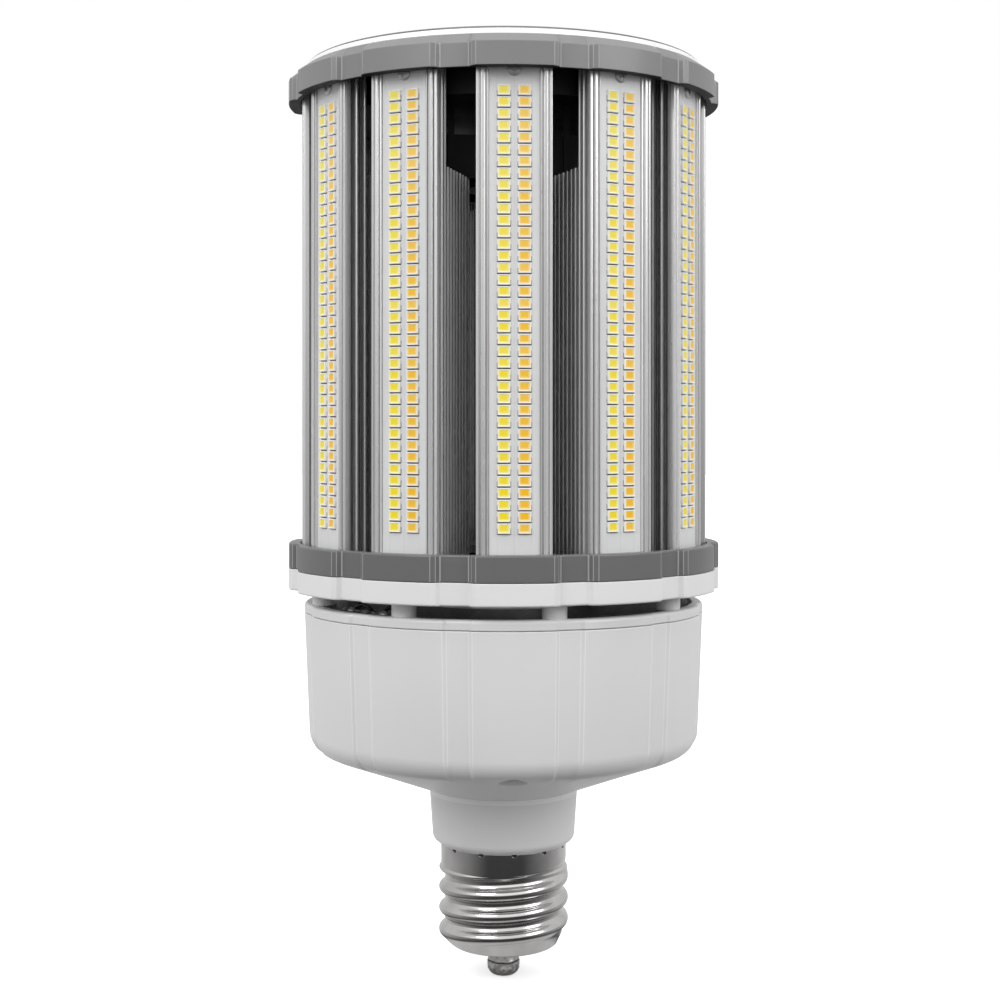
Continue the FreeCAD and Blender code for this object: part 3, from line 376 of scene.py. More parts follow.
def lobedLathe(full, recessed, stops):
    # a spin whose steps are moved to the stops; full and recessed outlines have the same corners
    count = len(stops)
    bm = lathe(full, lobeCount * count)
    row = bm.verts.layers.int["row"]
    for vert in bm.verts:
        if math.hypot(vert.co.x, vert.co.y) < 0.001:
            continue
        around = math.degrees(math.atan2(vert.co.y, vert.co.x)) + 90 + lobePitch / 2
        sector, stop = divmod(round(around * count / lobePitch) % (lobeCount * count), count)
        turn, share = stops[stop]
        wanted = Vector(full[vert[row]]).lerp(Vector(recessed[vert[row]]), share)
        angle = math.radians(sector * lobePitch + turn - 90)
        vert.co = (wanted.x * math.cos(angle), wanted.x * math.sin(angle), wanted.y)
    bmesh.ops.recalc_face_normals(bm, faces=bm.faces)
    return bm


def isRound(face, width):
    # one of the narrow upright faces in the round of an edge, measured between corners of one height
    corners = [vert.co for vert in face.verts]
    level = [(a - b).length for a in corners for b in corners if abs(a.z - b.z) < 0.02]
    return abs(face.normal.z) < 0.3 and max(level) < width


def makeRings(s):
    stops = sectorStops(s, s["lobeRadius"])
    seatTop = s["seatTop"] - s["fitGap"]
    seatFloor = seatTop - s["seatFloor"]
    clampFoot = s["seatTop"] + s["fitGap"]
    clampFloor = clampFoot + s["clampHollow"]
    clampStep = s["clampTop"] - s["clampStep"]
    topStep = s["topTop"] - s["topStep"]

    def seat(edge):
        return rounded([
            (edge, s["seatBottom"], 0.6), (edge, seatTop, 0.25), (s["coreRadius"], seatTop),
            (s["coreRadius"], seatFloor), (s["seatBore"], seatFloor), (s["seatBore"], s["seatBottom"])], 4)

    def clamp(edge):
        return rounded([
            (edge, clampFoot, 0.25), (edge, s["clampTop"], 0.6), (s["clampBore"], s["clampTop"], 0.3),
            (s["clampBore"], clampStep), (s["coreRadius"], clampStep), (s["coreRadius"], clampFloor),
            (s["seatBore"], clampFloor), (s["seatBore"], clampFoot)], 4)

    def top(edge):
        return rounded([
            (edge, s["topBottom"], 0.25), (edge, s["topShoulder"], 0.45),
            (s["bevelRadius"], s["topTop"], 0.35), (s["topBore"], s["topTop"]), (s["topBore"], topStep),
            (s["clampBore"], topStep), (s["clampBore"], s["topBottom"])], 4)

    rings = (("seatRing", seat, ["seat"], "seat_ring", "housing"),
             ("bottomClampRing", clamp, ["lowerRing", "ringEdgeHighlight"], "bottom_clamp_ring", "ring"),
             ("topClampRing", top, ["upperRing", "ringEdgeHighlight", "black"], "top_clamp_ring", "ring"))
    for name, outline, finish, node, slot in rings:
        bm = lobedLathe(outline(s["lobeRadius"]), outline(s["lobeRadius"] - s["recessDepth"]), stops)
        for face in bm.faces:
            if len(finish) > 1 and isRound(face, s["highlightWidth"]):
                face.material_index = 1    # painted highlight: the narrow rounds of the lobes' edges are painted lighter grey
            if len(finish) > 2 and face.normal.z < -0.8:
                face.material_index = 2    # painted shade: the top ring's underside is painted black
        addPiece(name, bm, finish, node, sharp=26)
    print("rings done")


# Driver housing, its lid and the posts over it
housingShape = {
    "neckLip": 19.6, "neckLow": 21.5, "neckHigh": 22.4, "shoulder": 40.7, "shellGap": 0.01,
    "chamferTop": 42.3, "neckTop": 57.2, "bandHigh": 1.4, "bandProud": 0.05, "bandRound": 0.2,
    "coneRadius": 40.0, "coneHeight": 63.86, "lobesRadius": 49.5, "lobesHeight": 67.33, "lobesRise": 0.1,
    "footRadius": 58.6, "footHeight": 70.66, "footRise": 0.25, "rimRadius": 60.2, "seam": 111.0,
    "seamGap": 0.08, "lobeHalf": 11.0, "shoulderHalf": 11.5, "shoulderDrop": 0.3, "recessHalf": 3.0,
    "recessDepth": 0.6, "edgeRound": 0.55, "highlightWidth": 0.3,
    "wells": 3, "wellRadius": 4.0, "wellCircle": 52.2, "wellBelow": 40.0, "wellFloor": 78.0,
    "lidTop": 114.0, "lidBore": 57.0, "lidFloor": 1.5,
    "posts": 8, "postTurn": 12, "postCircle": 55.0, "postRadius": 3.5, "postTop": 122.2, "postSunk": 1.0,
    "collarWide": 0.8, "collarHigh": 0.6, "flareHigh": 1.6,
}


def makeHousing(s):
    stops = sectorStops(s, s["rimRadius"])
    shoulder = s["shoulder"] + s["shellGap"]
    rim = s["seam"] - s["seamGap"]

    def wall(recess):
        return rounded([
            (0, shoulder), (s["neckLip"], shoulder, 0.7), (s["neckLow"], s["chamferTop"], 2.4),
            (s["neckHigh"], s["neckTop"] - s["bandHigh"]),
            (s["neckHigh"] + s["bandProud"], s["neckTop"] - s["bandRound"], s["bandRound"]),
            (s["neckHigh"] - 2 * s["bandProud"], s["neckTop"]), (s["coneRadius"], s["coneHeight"]),
            (s["lobesRadius"], s["lobesHeight"] + recess * s["lobesRise"]),
            (s["footRadius"] - recess, s["footHeight"] + recess * s["footRise"], 7.0),
            (s["rimRadius"] - recess, rim, 0.3), (0, rim)], 6)

    bm = lobedLathe(wall(0), wall(s["recessDepth"]), stops)
    for face in bm.faces:
        spot = face.calc_center_median()
        band = spot.xy.length < s["neckHigh"] + 1 and spot.z > s["neckTop"] - s["bandHigh"]
        if band or (spot.z > s["footHeight"] and isRound(face, s["highlightWidth"])):
            face.material_index = 1    # painted highlight: a pale line round the neck's lip and paler edge rounds
    housing = addPiece("driverHousing", bm, ["housing", "housingHighlight"], "driver_housing",
                       sharp=30, weighted=False)
    cutters = bmesh.new()
    middle = (s["wellFloor"] + s["wellBelow"]) / 2
    for i in range(s["wells"]):
        turn = math.radians(i * 360 / s["wells"] - 90)
        spot = (s["wellCircle"] * math.cos(turn), s["wellCircle"] * math.sin(turn), middle)
        bmesh.ops.create_cone(cutters, cap_ends=True, segments=40, radius1=s["wellRadius"],
                              radius2=s["wellRadius"], depth=s["wellFloor"] - s["wellBelow"],
                              matrix=Matrix.Translation(spot))
    bmesh.ops.scale(cutters, vec=(mm, mm, mm), verts=cutters.verts)
    carve(housing, meshObject("wellCutters", cutters))

    foot = s["seam"] + s["seamGap"]
    floor = foot + s["lidFloor"]

    def lid(recess):
        edge = s["rimRadius"] - recess
        return rounded([(0, foot), (edge, foot, 0.3), (edge, s["lidTop"], 1.0),
                        (s["lidBore"], s["lidTop"], 0.3), (s["lidBore"], floor), (0, floor)], 5)

    bm = lobedLathe(lid(0), lid(s["recessDepth"]), stops)
    addPiece("housingLid", bm, "housing", "housing_lid", sharp=30)

    bottom = s["seam"] + s["postSunk"]
    collar = s["postRadius"] + s["collarWide"]
    post = rounded([(0, bottom), (collar, bottom), (collar, bottom + s["collarHigh"]),
                    (s["postRadius"], bottom + s["flareHigh"], 0.8), (s["postRadius"], s["postTop"]),
                    (0, s["postTop"])], 4)
    bm = lathe(post, 32, closed=False)
    bmesh.ops.translate(bm, vec=(0, -s["postCircle"], 0), verts=bm.verts)
    spinCopies(bm, s["posts"], s["postTurn"])
    addPiece("lidPosts", bm, "housing", "housing_lid")
    print("housing done")


# Screw shell with its rolled thread, and the end contact
shellShape = {
    "mouth": 11.0, "bottom": 9.4, "heel": 15.5, "crest": 19.65, "root": 17.8, "collar": 19.0, "top": 40.7,
    "lipGap": 0.05, "sheet": 0.6, "heelSheet": 0.8, "crestFoot": 13.5, "crestTop": 33.0, "collarFoot": 33.9,
    "innerTop": (17.0, 33.4), "innerFoot": (16.6, 14.0), "outerFrom": 17.6, "step": 0.25, "steps": 240,
    "pitch": 6.35, "start": 11.61, "startAngle": -150, "turns": 3.4, "fade": 0.22, "fadeFrom": 0.3,
    "arc": 1.824, "dimples": 12, "dimpleTurn": 7, "dimpleRadius": 0.6, "dimpleDepth": 0.3,
    "dimpleHeight": 40.45, "pitShadeRadius": 0.75, "contactRadius": 4.9, "contactRound": 2.8, "contactBand": 4.4,
    "contactWaist": 2.9, "stemRadius": 4.7, "stemTop": 10.0,
}


def cappedSolder(name, level, tint, s):
    # the end contact: dull, with a wavy dark line of painted shade in the step under its stem
    look = finishOf(name)
    wave = look.noise(300, 4)
    stain = look.noise(900, 5)
    height = look.spot(2) + (wave - 0.5) * 0.0012
    # painted shade: a thin dark line in the step where the stem meets the button
    ring = look.spread(height.distance(s["contactBand"] * mm), 0.0001, 0.0004, 1.0, 0.0)
    waist = look.spread(height.distance(s["contactWaist"] * mm), 0.0007, 0.0016, 0.6, 0.0)
    waist = waist * look.spread(stain, 0.4, 0.6)
    clean = look.blend(look.spread(stain, 0.35, 0.7), grey(level, tint), grey(level * 0.86, tint))
    colour = look.blend(ring.larger(waist), clean, grey(level * 0.4, tint))
    return look.shade(baseColor=colour, metallic=0.75, roughness=look.spread(stain, 0.3, 0.7, 0.28, 0.5),
                      normal=look.bump(wave * 0.5 + stain * 0.5, 0.4, 0.0002))


def threadDepth(s, away):
    half = s["pitch"] / 2
    away = min(abs(away), half)
    if away < half / 2:
        radius = s["root"] + s["arc"] - math.sqrt(s["arc"] ** 2 - away ** 2)
    else:
        radius = s["crest"] - s["arc"] + math.sqrt(s["arc"] ** 2 - (half - away) ** 2)
    return s["crest"] - radius


def easeIn(amount):
    amount = max(0.0, min(1.0, amount))
    return amount * amount * (3 - 2 * amount)


def fromDimple(s, spot):    # how far a place is from the nearest crimp mark's middle
    pitch = 360 / s["dimples"]
    around = math.degrees(math.atan2(spot.y, spot.x)) + 90 - s["dimpleTurn"]
    aside = math.radians((around + pitch / 2) % pitch - pitch / 2) * s["collar"]
    return math.hypot(aside, spot.z - s["dimpleHeight"])


def pressIn(vert, depth, radius):    # moves a vertex towards the axis by a share of the radius
    smaller = (radius - depth) / radius
    vert.co.x *= smaller
    vert.co.y *= smaller


def rollThread(s, bm):
    for vert in bm.verts:
        radius = math.hypot(vert.co.x, vert.co.y)
        if radius < s["root"] - 1.2 and vert.co.z > s["bottom"] + 1.5:
            continue    # well inside the wall
        around = math.degrees(math.atan2(vert.co.y, vert.co.x))
        turn = ((around - s["startAngle"]) % 360) / 360
        level = (vert.co.z - s["start"]) / s["pitch"] - turn
        for lap in (math.floor(level), math.floor(level) + 1):
            away = (level - lap) * s["pitch"]
            run = turn + lap
            strength = easeIn(run / s["fade"] + s["fadeFrom"])
            strength *= easeIn((s["turns"] - run) / s["fade"] + s["fadeFrom"])
            if abs(away) <= s["pitch"] / 2 and strength > 0:
                pressIn(vert, threadDepth(s, away) * strength, radius)
        reach = fromDimple(s, vert.co) / s["dimpleRadius"]
        if reach < 1:
            pressIn(vert, s["dimpleDepth"] * (1 - reach * reach), s["collar"])


def makeBase(s):
    lip = s["top"] - s["lipGap"]
    inside = s["bottom"] + s["sheet"]
    outline = rounded([
        (s["mouth"], s["bottom"]), (s["heel"], s["bottom"], 2.6), (s["crest"], s["crestFoot"], 1.4),
        (s["crest"], s["crestTop"], 0.6), (s["collar"], s["collarFoot"], 0.6), (s["collar"], lip, 0.15),
        (s["collar"] - s["sheet"], lip), s["innerTop"], s["innerFoot"],
        (s["heel"] - s["heelSheet"], inside), (s["mouth"], inside)], 4)
    fine = []
    for i, spot in enumerate(outline):
        following = outline[(i + 1) % len(outline)]
        parts = 1
        if min(spot.x, following.x) > s["outerFrom"]:
            parts = max(1, round((following - spot).length / s["step"]))
        fine += [spot.lerp(following, k / parts) for k in range(parts)]
    bm = lathe(fine, s["steps"])
    rollThread(s, bm)
    bmesh.ops.recalc_face_normals(bm, faces=bm.faces)
    for face in bm.faces:
        spot = face.calc_center_median()
        if fromDimple(s, spot) < s["pitShadeRadius"] and spot.xy.length > s["outerFrom"]:
            face.material_index = 1    # painted shade: the pit of a crimp mark is painted black
    addPiece("screwShell", bm, ["shell", "black"], "screw_shell", sharp=60, weighted=False)
    button = rounded([
        (0, 0), (s["contactRadius"], 0, s["contactRound"]),
        (s["contactRadius"], s["contactBand"] - 0.1, 0.25), (s["stemRadius"], s["contactBand"] + 0.1),
        (s["stemRadius"], s["stemTop"]), (0, s["stemTop"])], 8)
    bm = lathe(button, 96, closed=False)
    addPiece("contactButton", bm, "contact", "end_contact", sharp=50, weighted=False)
    print("screw base done")


# Finned bars, their boards and emitters
stripShape = {
    "count": 12, "halfWidth": 10.4, "face": 60.5, "floor": 58.6, "plateBack": 57.4, "channelHalf": 7.0,
    "bottom": 128.9, "top": 266.4, "notchFloor": 238.5, "notchRadius": 51.5, "webHalf": 1.0, "rootHalf": 2.8,
    "slope": 0.06, "lipOuter": 7.5, "lipFace": 60.2, "railInner": 7.9, "railOuter": 9.2, "grooveFloor": 59.4,
    "beadInner": 9.58, "beadFace": 60.06, "edgeFace": 60.0, "edgeBack": 58.3, "backHalf": 9.5,
    "fins": 10, "finFace": 56.0, "finPitch": 3.0, "finThick": 0.9, "finHalf": 9.9, "finTaper": 0.7,
    "boardThick": 1.0, "boardEdge": 0.12, "rows": 38, "rowPitch": 3.2076, "firstRow": 257.55,
    "columnGap": 5.65, "ledWide": 3.5, "ledTall": 2.8, "ledThick": 0.7, "ledEdge": 0.12, "ledFrame": 0.15,
    "ledSlope": 0.06, "ledSunk": 0.12, "screwHeight": 263.3,
    "trackHalf": 0.16, "edgeTrack": 4.6, "edgeTrackHalf": 0.12, "jointPitch": 38.6, "shadeHalf": 1.75,
    "tickShadeHalf": 1.92, "shadeAbove": 1.41, "shadeBelow": 1.65, "sheenFrom": 140.0, "sheenTo": 262.0,
}


def boardMask(name, level, s):
    # white solder mask over faint copper tracks, with painted shade behind each column of emitters and
    # darker ticks beside the lower half of each row
    look = finishOf(name)
    across = look.drawn("strip", 0).distance(0.0)
    along = look.drawn("strip", 1)
    edgeTrack = across.distance(s["edgeTrack"] * mm) < s["edgeTrackHalf"] * mm
    track = (across < s["trackHalf"] * mm) + edgeTrack
    lengths = along / (s["jointPitch"] * mm)
    joint = lengths.distance(lengths.floor()) < 0.008
    rows = (along - s["firstRow"] * mm) / (s["rowPitch"] * mm)
    aside = across.distance(s["columnGap"] / 2 * mm)
    lower = (rows - rows.floor()) > 0.5
    # painted shade: dark grey between and beside the emitters
    emitterShade = (aside < s["shadeHalf"] * mm) + (aside < s["tickShadeHalf"] * mm) * lower
    highest = s["firstRow"] + s["shadeAbove"]
    lowest = s["firstRow"] - (s["rows"] - 1) * s["rowPitch"] - s["shadeBelow"]
    emitterShade = emitterShade * (along.distance((highest + lowest) / 2 * mm) < (highest - lowest) / 2 * mm)
    cloud = look.noise(70, 4)
    base = look.blend(look.spread(cloud, 0.35, 0.65), grey(level), grey(level + 5, (0.985, 1.0, 1.0)))
    lined = look.blend(track * 0.3 + joint * 0.15, base, grey(level - 18))
    shaded = look.blend(emitterShade * look.spread(cloud, 0.3, 0.7, 0.8, 0.95), lined, grey(62))
    fine = look.noise(1900, 2)
    return look.shade(baseColor=shaded, roughness=look.spread(cloud, 0.3, 0.7, 0.28, 0.4), coat=0.25,
                      coatRoughness=0.2, normal=look.bump(fine * 0.4 + track * 0.6, 0.25, 0.00003))


def phosphor(name, deep, pale, edge, s):
    # paler towards the top of the lamp as a painted sheen, paler at the window's rim, and a little by chance
    look = finishOf(name)
    row = (look.spot(2) / (s["rowPitch"] * mm)).floor()
    chance = look.node("TexWhiteNoise", {"noise_dimensions": "1D"}, {"W": row})
    # painted sheen: the phosphor is paler higher up the lamp
    topSheen = look.spread(look.spot(2), s["sheenFrom"] * mm, s["sheenTo"] * mm, 0.0, 0.5)
    grain = look.noise(1400, 4)
    middle = look.blend(chance * 0.3 + topSheen, deep, pale)
    reach = look.drawn("cell", 0).distance(-0.06).larger(look.drawn("cell", 1).distance(0.14))
    rim = look.spread(reach + (grain - 0.5) * 0.2, 0.66, 1.0, 0.0, 0.9)
    gloss = look.spread(grain, 0.3, 0.7, 0.35, 0.55)
    return look.shade(baseColor=look.blend(rim, middle, edge), specular=0.25, roughness=gloss,
                      normal=look.bump(grain, 0.3, 0.00003))


def atStrip(bm, index):
    turnRound(bm, math.tau * index / stripShape["count"], bm.verts)
    return bm


def barMaster(s):
    # one half of the section, outside the notch line and inside it; both halves share the web's edge
    channel = s["channelHalf"] + s["slope"]
    outerGroove = s["grooveFloor"] - 0.1
    outer = [
        (0, s["floor"]), (channel, s["floor"]), (channel, s["lipFace"] - 0.08, 0.1),
        (s["lipOuter"], s["lipFace"], 0.12), (s["lipOuter"] + s["slope"], s["grooveFloor"]),
        (s["railInner"] - s["slope"], s["grooveFloor"]), (s["railInner"], s["face"], 0.42),
        (s["railOuter"], s["face"], 0.42), (s["railOuter"] + s["slope"], outerGroove),
        (s["beadInner"] - s["slope"], outerGroove), (s["beadInner"], s["beadFace"], 0.12),
        (s["halfWidth"], s["edgeFace"], 0.25), (s["halfWidth"], s["edgeBack"], 0.3),
        (s["backHalf"], s["plateBack"], 0.2), (s["rootHalf"], s["plateBack"], 0.3)]
    inner = []
    for i in range(s["fins"]):
        face = s["finFace"] - i * s["finPitch"]
        half = s["finHalf"] - i * s["finTaper"]
        stem = s["rootHalf"] if i == 0 else s["webHalf"]
        fin = [(s["rootHalf"] if i < 2 else stem, face), (half, face, 0.42),
               (half, face - s["finThick"], 0.42)]
        if i < s["fins"] - 1:
            fin.append((stem, face - s["finThick"]))
        (outer if i < 2 else inner).extend(fin)
    outer += [(s["webHalf"], s["notchRadius"]), (0, s["notchRadius"])]
    inner = [(0, s["notchRadius"]), (s["webHalf"], s["notchRadius"])] + inner
    inner.append((0, s["finFace"] - (s["fins"] - 1) * s["finPitch"] - s["finThick"]))
    bm = bmesh.new()
    for outline in (outer, inner):
        ring = [bm.verts.new((spot.x, -spot.y, s["bottom"])) for spot in rounded(outline, 3)]
        bm.faces.new(ring)
    onAxis = 0.0005
    bmesh.ops.remove_doubles(bm, verts=bm.verts, dist=onAxis)
    bmesh.ops.mirror(bm, geom=bm.verts[:] + bm.edges[:] + bm.faces[:], axis="X", merge_dist=onAxis)
    centre = [edge for edge in bm.edges if all(abs(v.co.x) < onAxis for v in edge.verts)]
    bmesh.ops.dissolve_edges(bm, edges=centre, use_verts=False)
    # the whole section is drawn up to the notch, and from there the plate alone
    raised = bmesh.ops.extrude_face_region(bm, geom=bm.faces[:], use_keep_orig=True)
    bmesh.ops.translate(bm, vec=(0, 0, s["notchFloor"] - s["bottom"]), verts=newVerts(raised))
    tops = [part for part in raised["geom"] if isinstance(part, bmesh.types.BMFace)]
    plate = max(tops, key=lambda face: max(-vert.co.y for vert in face.verts))
    raised = bmesh.ops.extrude_face_region(bm, geom=[plate])
    bmesh.ops.translate(bm, vec=(0, 0, s["top"] - s["notchFloor"]), verts=newVerts(raised))
    bmesh.ops.recalc_face_normals(bm, faces=bm.faces)
    return bm


def boardMaster(s):
    bm = bmesh.new()
    centre = (0, -s["floor"] - s["boardThick"] / 2, (s["bottom"] + s["top"]) / 2)
    addBox(bm, centre, (2 * s["channelHalf"], s["boardThick"], s["top"] - s["bottom"]))
    bmesh.ops.bevel(bm, geom=bm.edges[:], offset=s["boardEdge"], offset_type="OFFSET", segments=1,
                    profile=0.5, affect="EDGES", material=-1)
    drawMap(bm, "strip", lambda spot: (spot.x * mm, spot.z * mm))
    return bm


def emitterMaster(s):
    # a white frame with bevelled edges round a sunk window of phosphor
    bm = bmesh.new()
    front = -(s["floor"] + s["boardThick"])

    def foremost():
        near = [face for face in bm.faces if face.calc_center_median().y < front - s["ledThick"] + 0.001]
        return max(near, key=lambda face: face.calc_area())

    addBox(bm, (0, front - s["ledThick"] / 2, 0), (s["ledWide"], s["ledThick"], s["ledTall"]))
    bmesh.ops.bevel(bm, geom=list(foremost().edges), offset=s["ledEdge"], offset_type="OFFSET", segments=1,
                    profile=0.5, affect="EDGES", material=-1)
    window = foremost()
    bmesh.ops.inset_region(bm, faces=[window], thickness=s["ledFrame"], depth=0)
    bmesh.ops.inset_region(bm, faces=[window], thickness=s["ledSlope"], depth=-s["ledSunk"])
    window.material_index = 1
    border = s["ledEdge"] + s["ledFrame"] + s["ledSlope"]
    halfWide = s["ledWide"] / 2 - border
    halfTall = s["ledTall"] / 2 - border
    drawMap(bm, "cell", lambda spot: (spot.x / halfWide, spot.z / halfTall))
    return bm


def emitterMesh(turn=None):
    master = emitterMaster(stripShape)
    if turn:
        bmesh.ops.transform(master, matrix=turn, verts=master.verts)
    one = bpy.data.meshes.new("emitter")
    master.to_mesh(one)
    master.free()
    return one


def placeCopy(bm, one, place, warm=False):
    # adds a master mesh at a place; a warm emitter gets the third finish in its window
    firstVert = len(bm.verts)
    firstFace = len(bm.faces)
    bm.from_mesh(one)
    bm.verts.ensure_lookup_table()
    bm.faces.ensure_lookup_table()
    bmesh.ops.transform(bm, matrix=place, verts=bm.verts[firstVert:])
    for face in bm.faces[firstFace:]:
        if warm and face.material_index == 1:
            face.material_index = 2


def makeStrips(s):
    one = emitterMesh()
    for i in range(s["count"]):
        label = f"{i + 1:02d}"
        addPiece("finBar" + label, atStrip(barMaster(s), i), "bar", "heatsink_bar_" + label,
                 sharp=32, weighted=False)
        addPiece("stripBoard" + label, atStrip(boardMaster(s), i), "whiteBoard", "led_board_" + label)
        bm = bmesh.new()
        for row in range(s["rows"]):
            for side in (-1, 1):
                spot = (side * s["columnGap"] / 2, 0, s["firstRow"] - row * s["rowPitch"])
                placeCopy(bm, one, Matrix.Translation(spot), side > 0)
        addPiece("emitters" + label, atStrip(bm, i), ["frameWhite", "cool", "warm"],
                 "led_packages_" + label, weighted=False)
    bpy.data.meshes.remove(one)
    print("strips done")


# Screws: rounded heads with a cross recess, each set with its radius and height
screwShape = {
    "headSteps": 28, "crossLong": 1.15, "crossWide": 0.26, "crossDeep": 0.9, "twist": 23, "twistStep": 41,
    "stripHead": (1.9, 0.8), "plateHead": (2.5, 1.7), "wellHead": (3.0, 2.3), "fanHead": (2.6, 1.5),
    "plates": 12, "plateCircle": 54.5, "plateHeight": 268.4, "clampHeight": 126.4,
    "wells": 3, "wellCircle": 51.0, "wellHeight": 78.0, "fanHoles": 4, "fanHalf": 25.0, "fanHeight": 238.5,
}


def screwHead(s, radius, height):
    # a head standing on z = 0, its cross recess cut from above
    dome = rounded([(0, 0), (radius, 0), (radius, height * 0.55, height * 0.4), (radius * 0.6, height),
                    (0, height)], 4)
    master = meshObject("screwHead", lathe(dome, s["headSteps"], closed=False))
    cross = bmesh.new()
    slot = (radius * s["crossLong"], radius * s["crossWide"], height * s["crossDeep"])
    for turn in (0, math.pi / 2):
        addBox(cross, (0, 0, height), slot, turn)
    carve(master, meshObject("crossCutter", cross), crossed=True)
    mesh = master.data
    bpy.data.objects.remove(master)
    return mesh


def standing(s, count, circle, height, start=-90, flip=False):
    # places round a circle, each head turned its own way, standing up or hanging down
    over = Matrix.Rotation(math.pi if flip else 0, 4, "X")
    return [Matrix.Rotation(math.radians(start + i * 360 / count), 4, "Z")
            @ Matrix.Translation((circle, 0, height)) @ over
            @ Matrix.Rotation(math.radians(s["twist"] + i * s["twistStep"]), 4, "Z") for i in range(count)]


def makeScrews(s, strip):
    front = strip["floor"] + strip["boardThick"]
    facing = [Matrix.Rotation(math.tau * i / strip["count"], 4, "Z")
              @ Matrix.Translation((0, -front, strip["screwHeight"]))
              @ Matrix.Rotation(math.pi / 2, 4, "X") @ Matrix.Rotation(i * 0.7, 4, "Z")
              for i in range(strip["count"])]
    upper = standing(s, s["plates"], s["plateCircle"], s["plateHeight"])
    lower = standing(s, s["plates"], s["plateCircle"], s["clampHeight"], flip=True)
    sunk = standing(s, s["wells"], s["wellCircle"], s["wellHeight"], flip=True)
    corners = standing(s, s["fanHoles"], s["fanHalf"] * math.sqrt(2), s["fanHeight"], start=45, flip=True)
    sets = (("stripScrews", facing, s["stripHead"], "strip_screws"),
            ("plateScrews", upper, s["plateHead"], "plate_screws"),
            ("clampScrews", lower, s["plateHead"], "clamp_screws"),
            ("wellScrews", sunk, s["wellHead"], "housing_screws"),
            ("fanScrews", corners, s["fanHead"], "fan_screws"))
    for name, places, head, node in sets:
        one = screwHead(s, *head)
        bm = bmesh.new()
        for place in places:
            placeCopy(bm, one, place)
        addPiece(name, bm, "screw", node, sharp=35)
    print("screws done")


# Clear cap, and the board with its emitters under it
capShape = {
    "radius": 59.6, "flange": 61.2, "bottom": 268.42, "flangeTop": 270.2, "top": 275.2, "wall": 1.6,
    "edge": 1.0, "steps": 192, "boardRadius": 50.0, "boardTop": 270.0, "boardSteps": 160,
    "rings": 3, "firstRing": 18.0, "ringPitch": 12.0, "ringCount": 12,
}


def makeCap(s):
    inner = s["radius"] - s["wall"]
    ceiling = s["top"] - s["wall"]
    outline = rounded([(0, s["top"]), (s["radius"], s["top"], s["edge"]), (s["radius"], s["flangeTop"]),
                       (s["flange"], s["flangeTop"]), (s["flange"], s["bottom"]), (inner, s["bottom"]),
                       (inner, ceiling, 0.5), (0, ceiling)], 5)
    bm = lathe(outline, s["steps"], closed=False)
    for face in bm.faces:
        far = face.calc_center_median().xy.length
        if far > s["radius"] - s["edge"] and 0.25 < face.normal.z < 0.98:
            face.material_index = 1    # painted shade: the cap's rounded edge is painted dark grey instead of clear
        elif far > s["radius"] - 0.2 and abs(face.normal.z) < 0.3:
            face.material_index = 2    # the side wall, painted white with a painted glow for the light seen through the clear wall
    addPiece("clearCap", bm, ["lens", "lensEdgeShade", "lensWallPaintedGlow"], "top_lens", sharp=30, weighted=False)
    disc = rounded([(0, s["bottom"]), (s["boardRadius"], s["bottom"]),
                    (s["boardRadius"], s["boardTop"], 0.2), (0, s["boardTop"])], 3)
    bm = lathe(disc, s["boardSteps"], closed=False)
    drawMap(bm, "strip", lambda spot: (math.hypot(spot.x, spot.y) * mm, 0))
    addPiece("capBoard", bm, "whiteBoard", "top_led_board")
    lift = stripShape["floor"] + stripShape["boardThick"]
    one = emitterMesh(Matrix.Rotation(-math.pi / 2, 4, "X") @ Matrix.Translation((0, lift, 0)))
    bm = bmesh.new()
    for ring in range(s["rings"]):
        count = s["ringCount"] * (ring + 1)
        radius = s["firstRing"] + s["ringPitch"] * ring
        for i in range(count):
            place = Matrix.Rotation(math.tau * i / count, 4, "Z")
            placeCopy(bm, one, place @ Matrix.Translation((0, -radius, s["boardTop"])), i % 2 == 1)
    bpy.data.meshes.remove(one)
    addPiece("capEmitters", bm, ["frameWhite", "cool", "warm"], "top_leds", weighted=False)
    print("cap done")


# Wiring board in the air gap, with the solder joints and wire ends on its left front.
# A joint is its place in degrees and its length, a wire the degrees that it runs between.
wiringShape = {
    "bore": 28.0, "rim": 56.0, "bottom": 112.62, "thick": 1.18, "steps": 144, "jointCircle": 53.4,
    "joints": ((-61, 1.3), (-57, 1.9), (-53.5, 1.1), (-50, 1.6), (-46, 1.2), (-42, 2.0), (-37.5, 1.3),
               (-33, 1.7)),
    "jointHigh": 0.55, "wires": ((-58, -49), (-44, -35)), "wireRadius": 0.55, "wireLift": 1.3,
    "wireInset": 1.6, "wireSteps": 8,
}


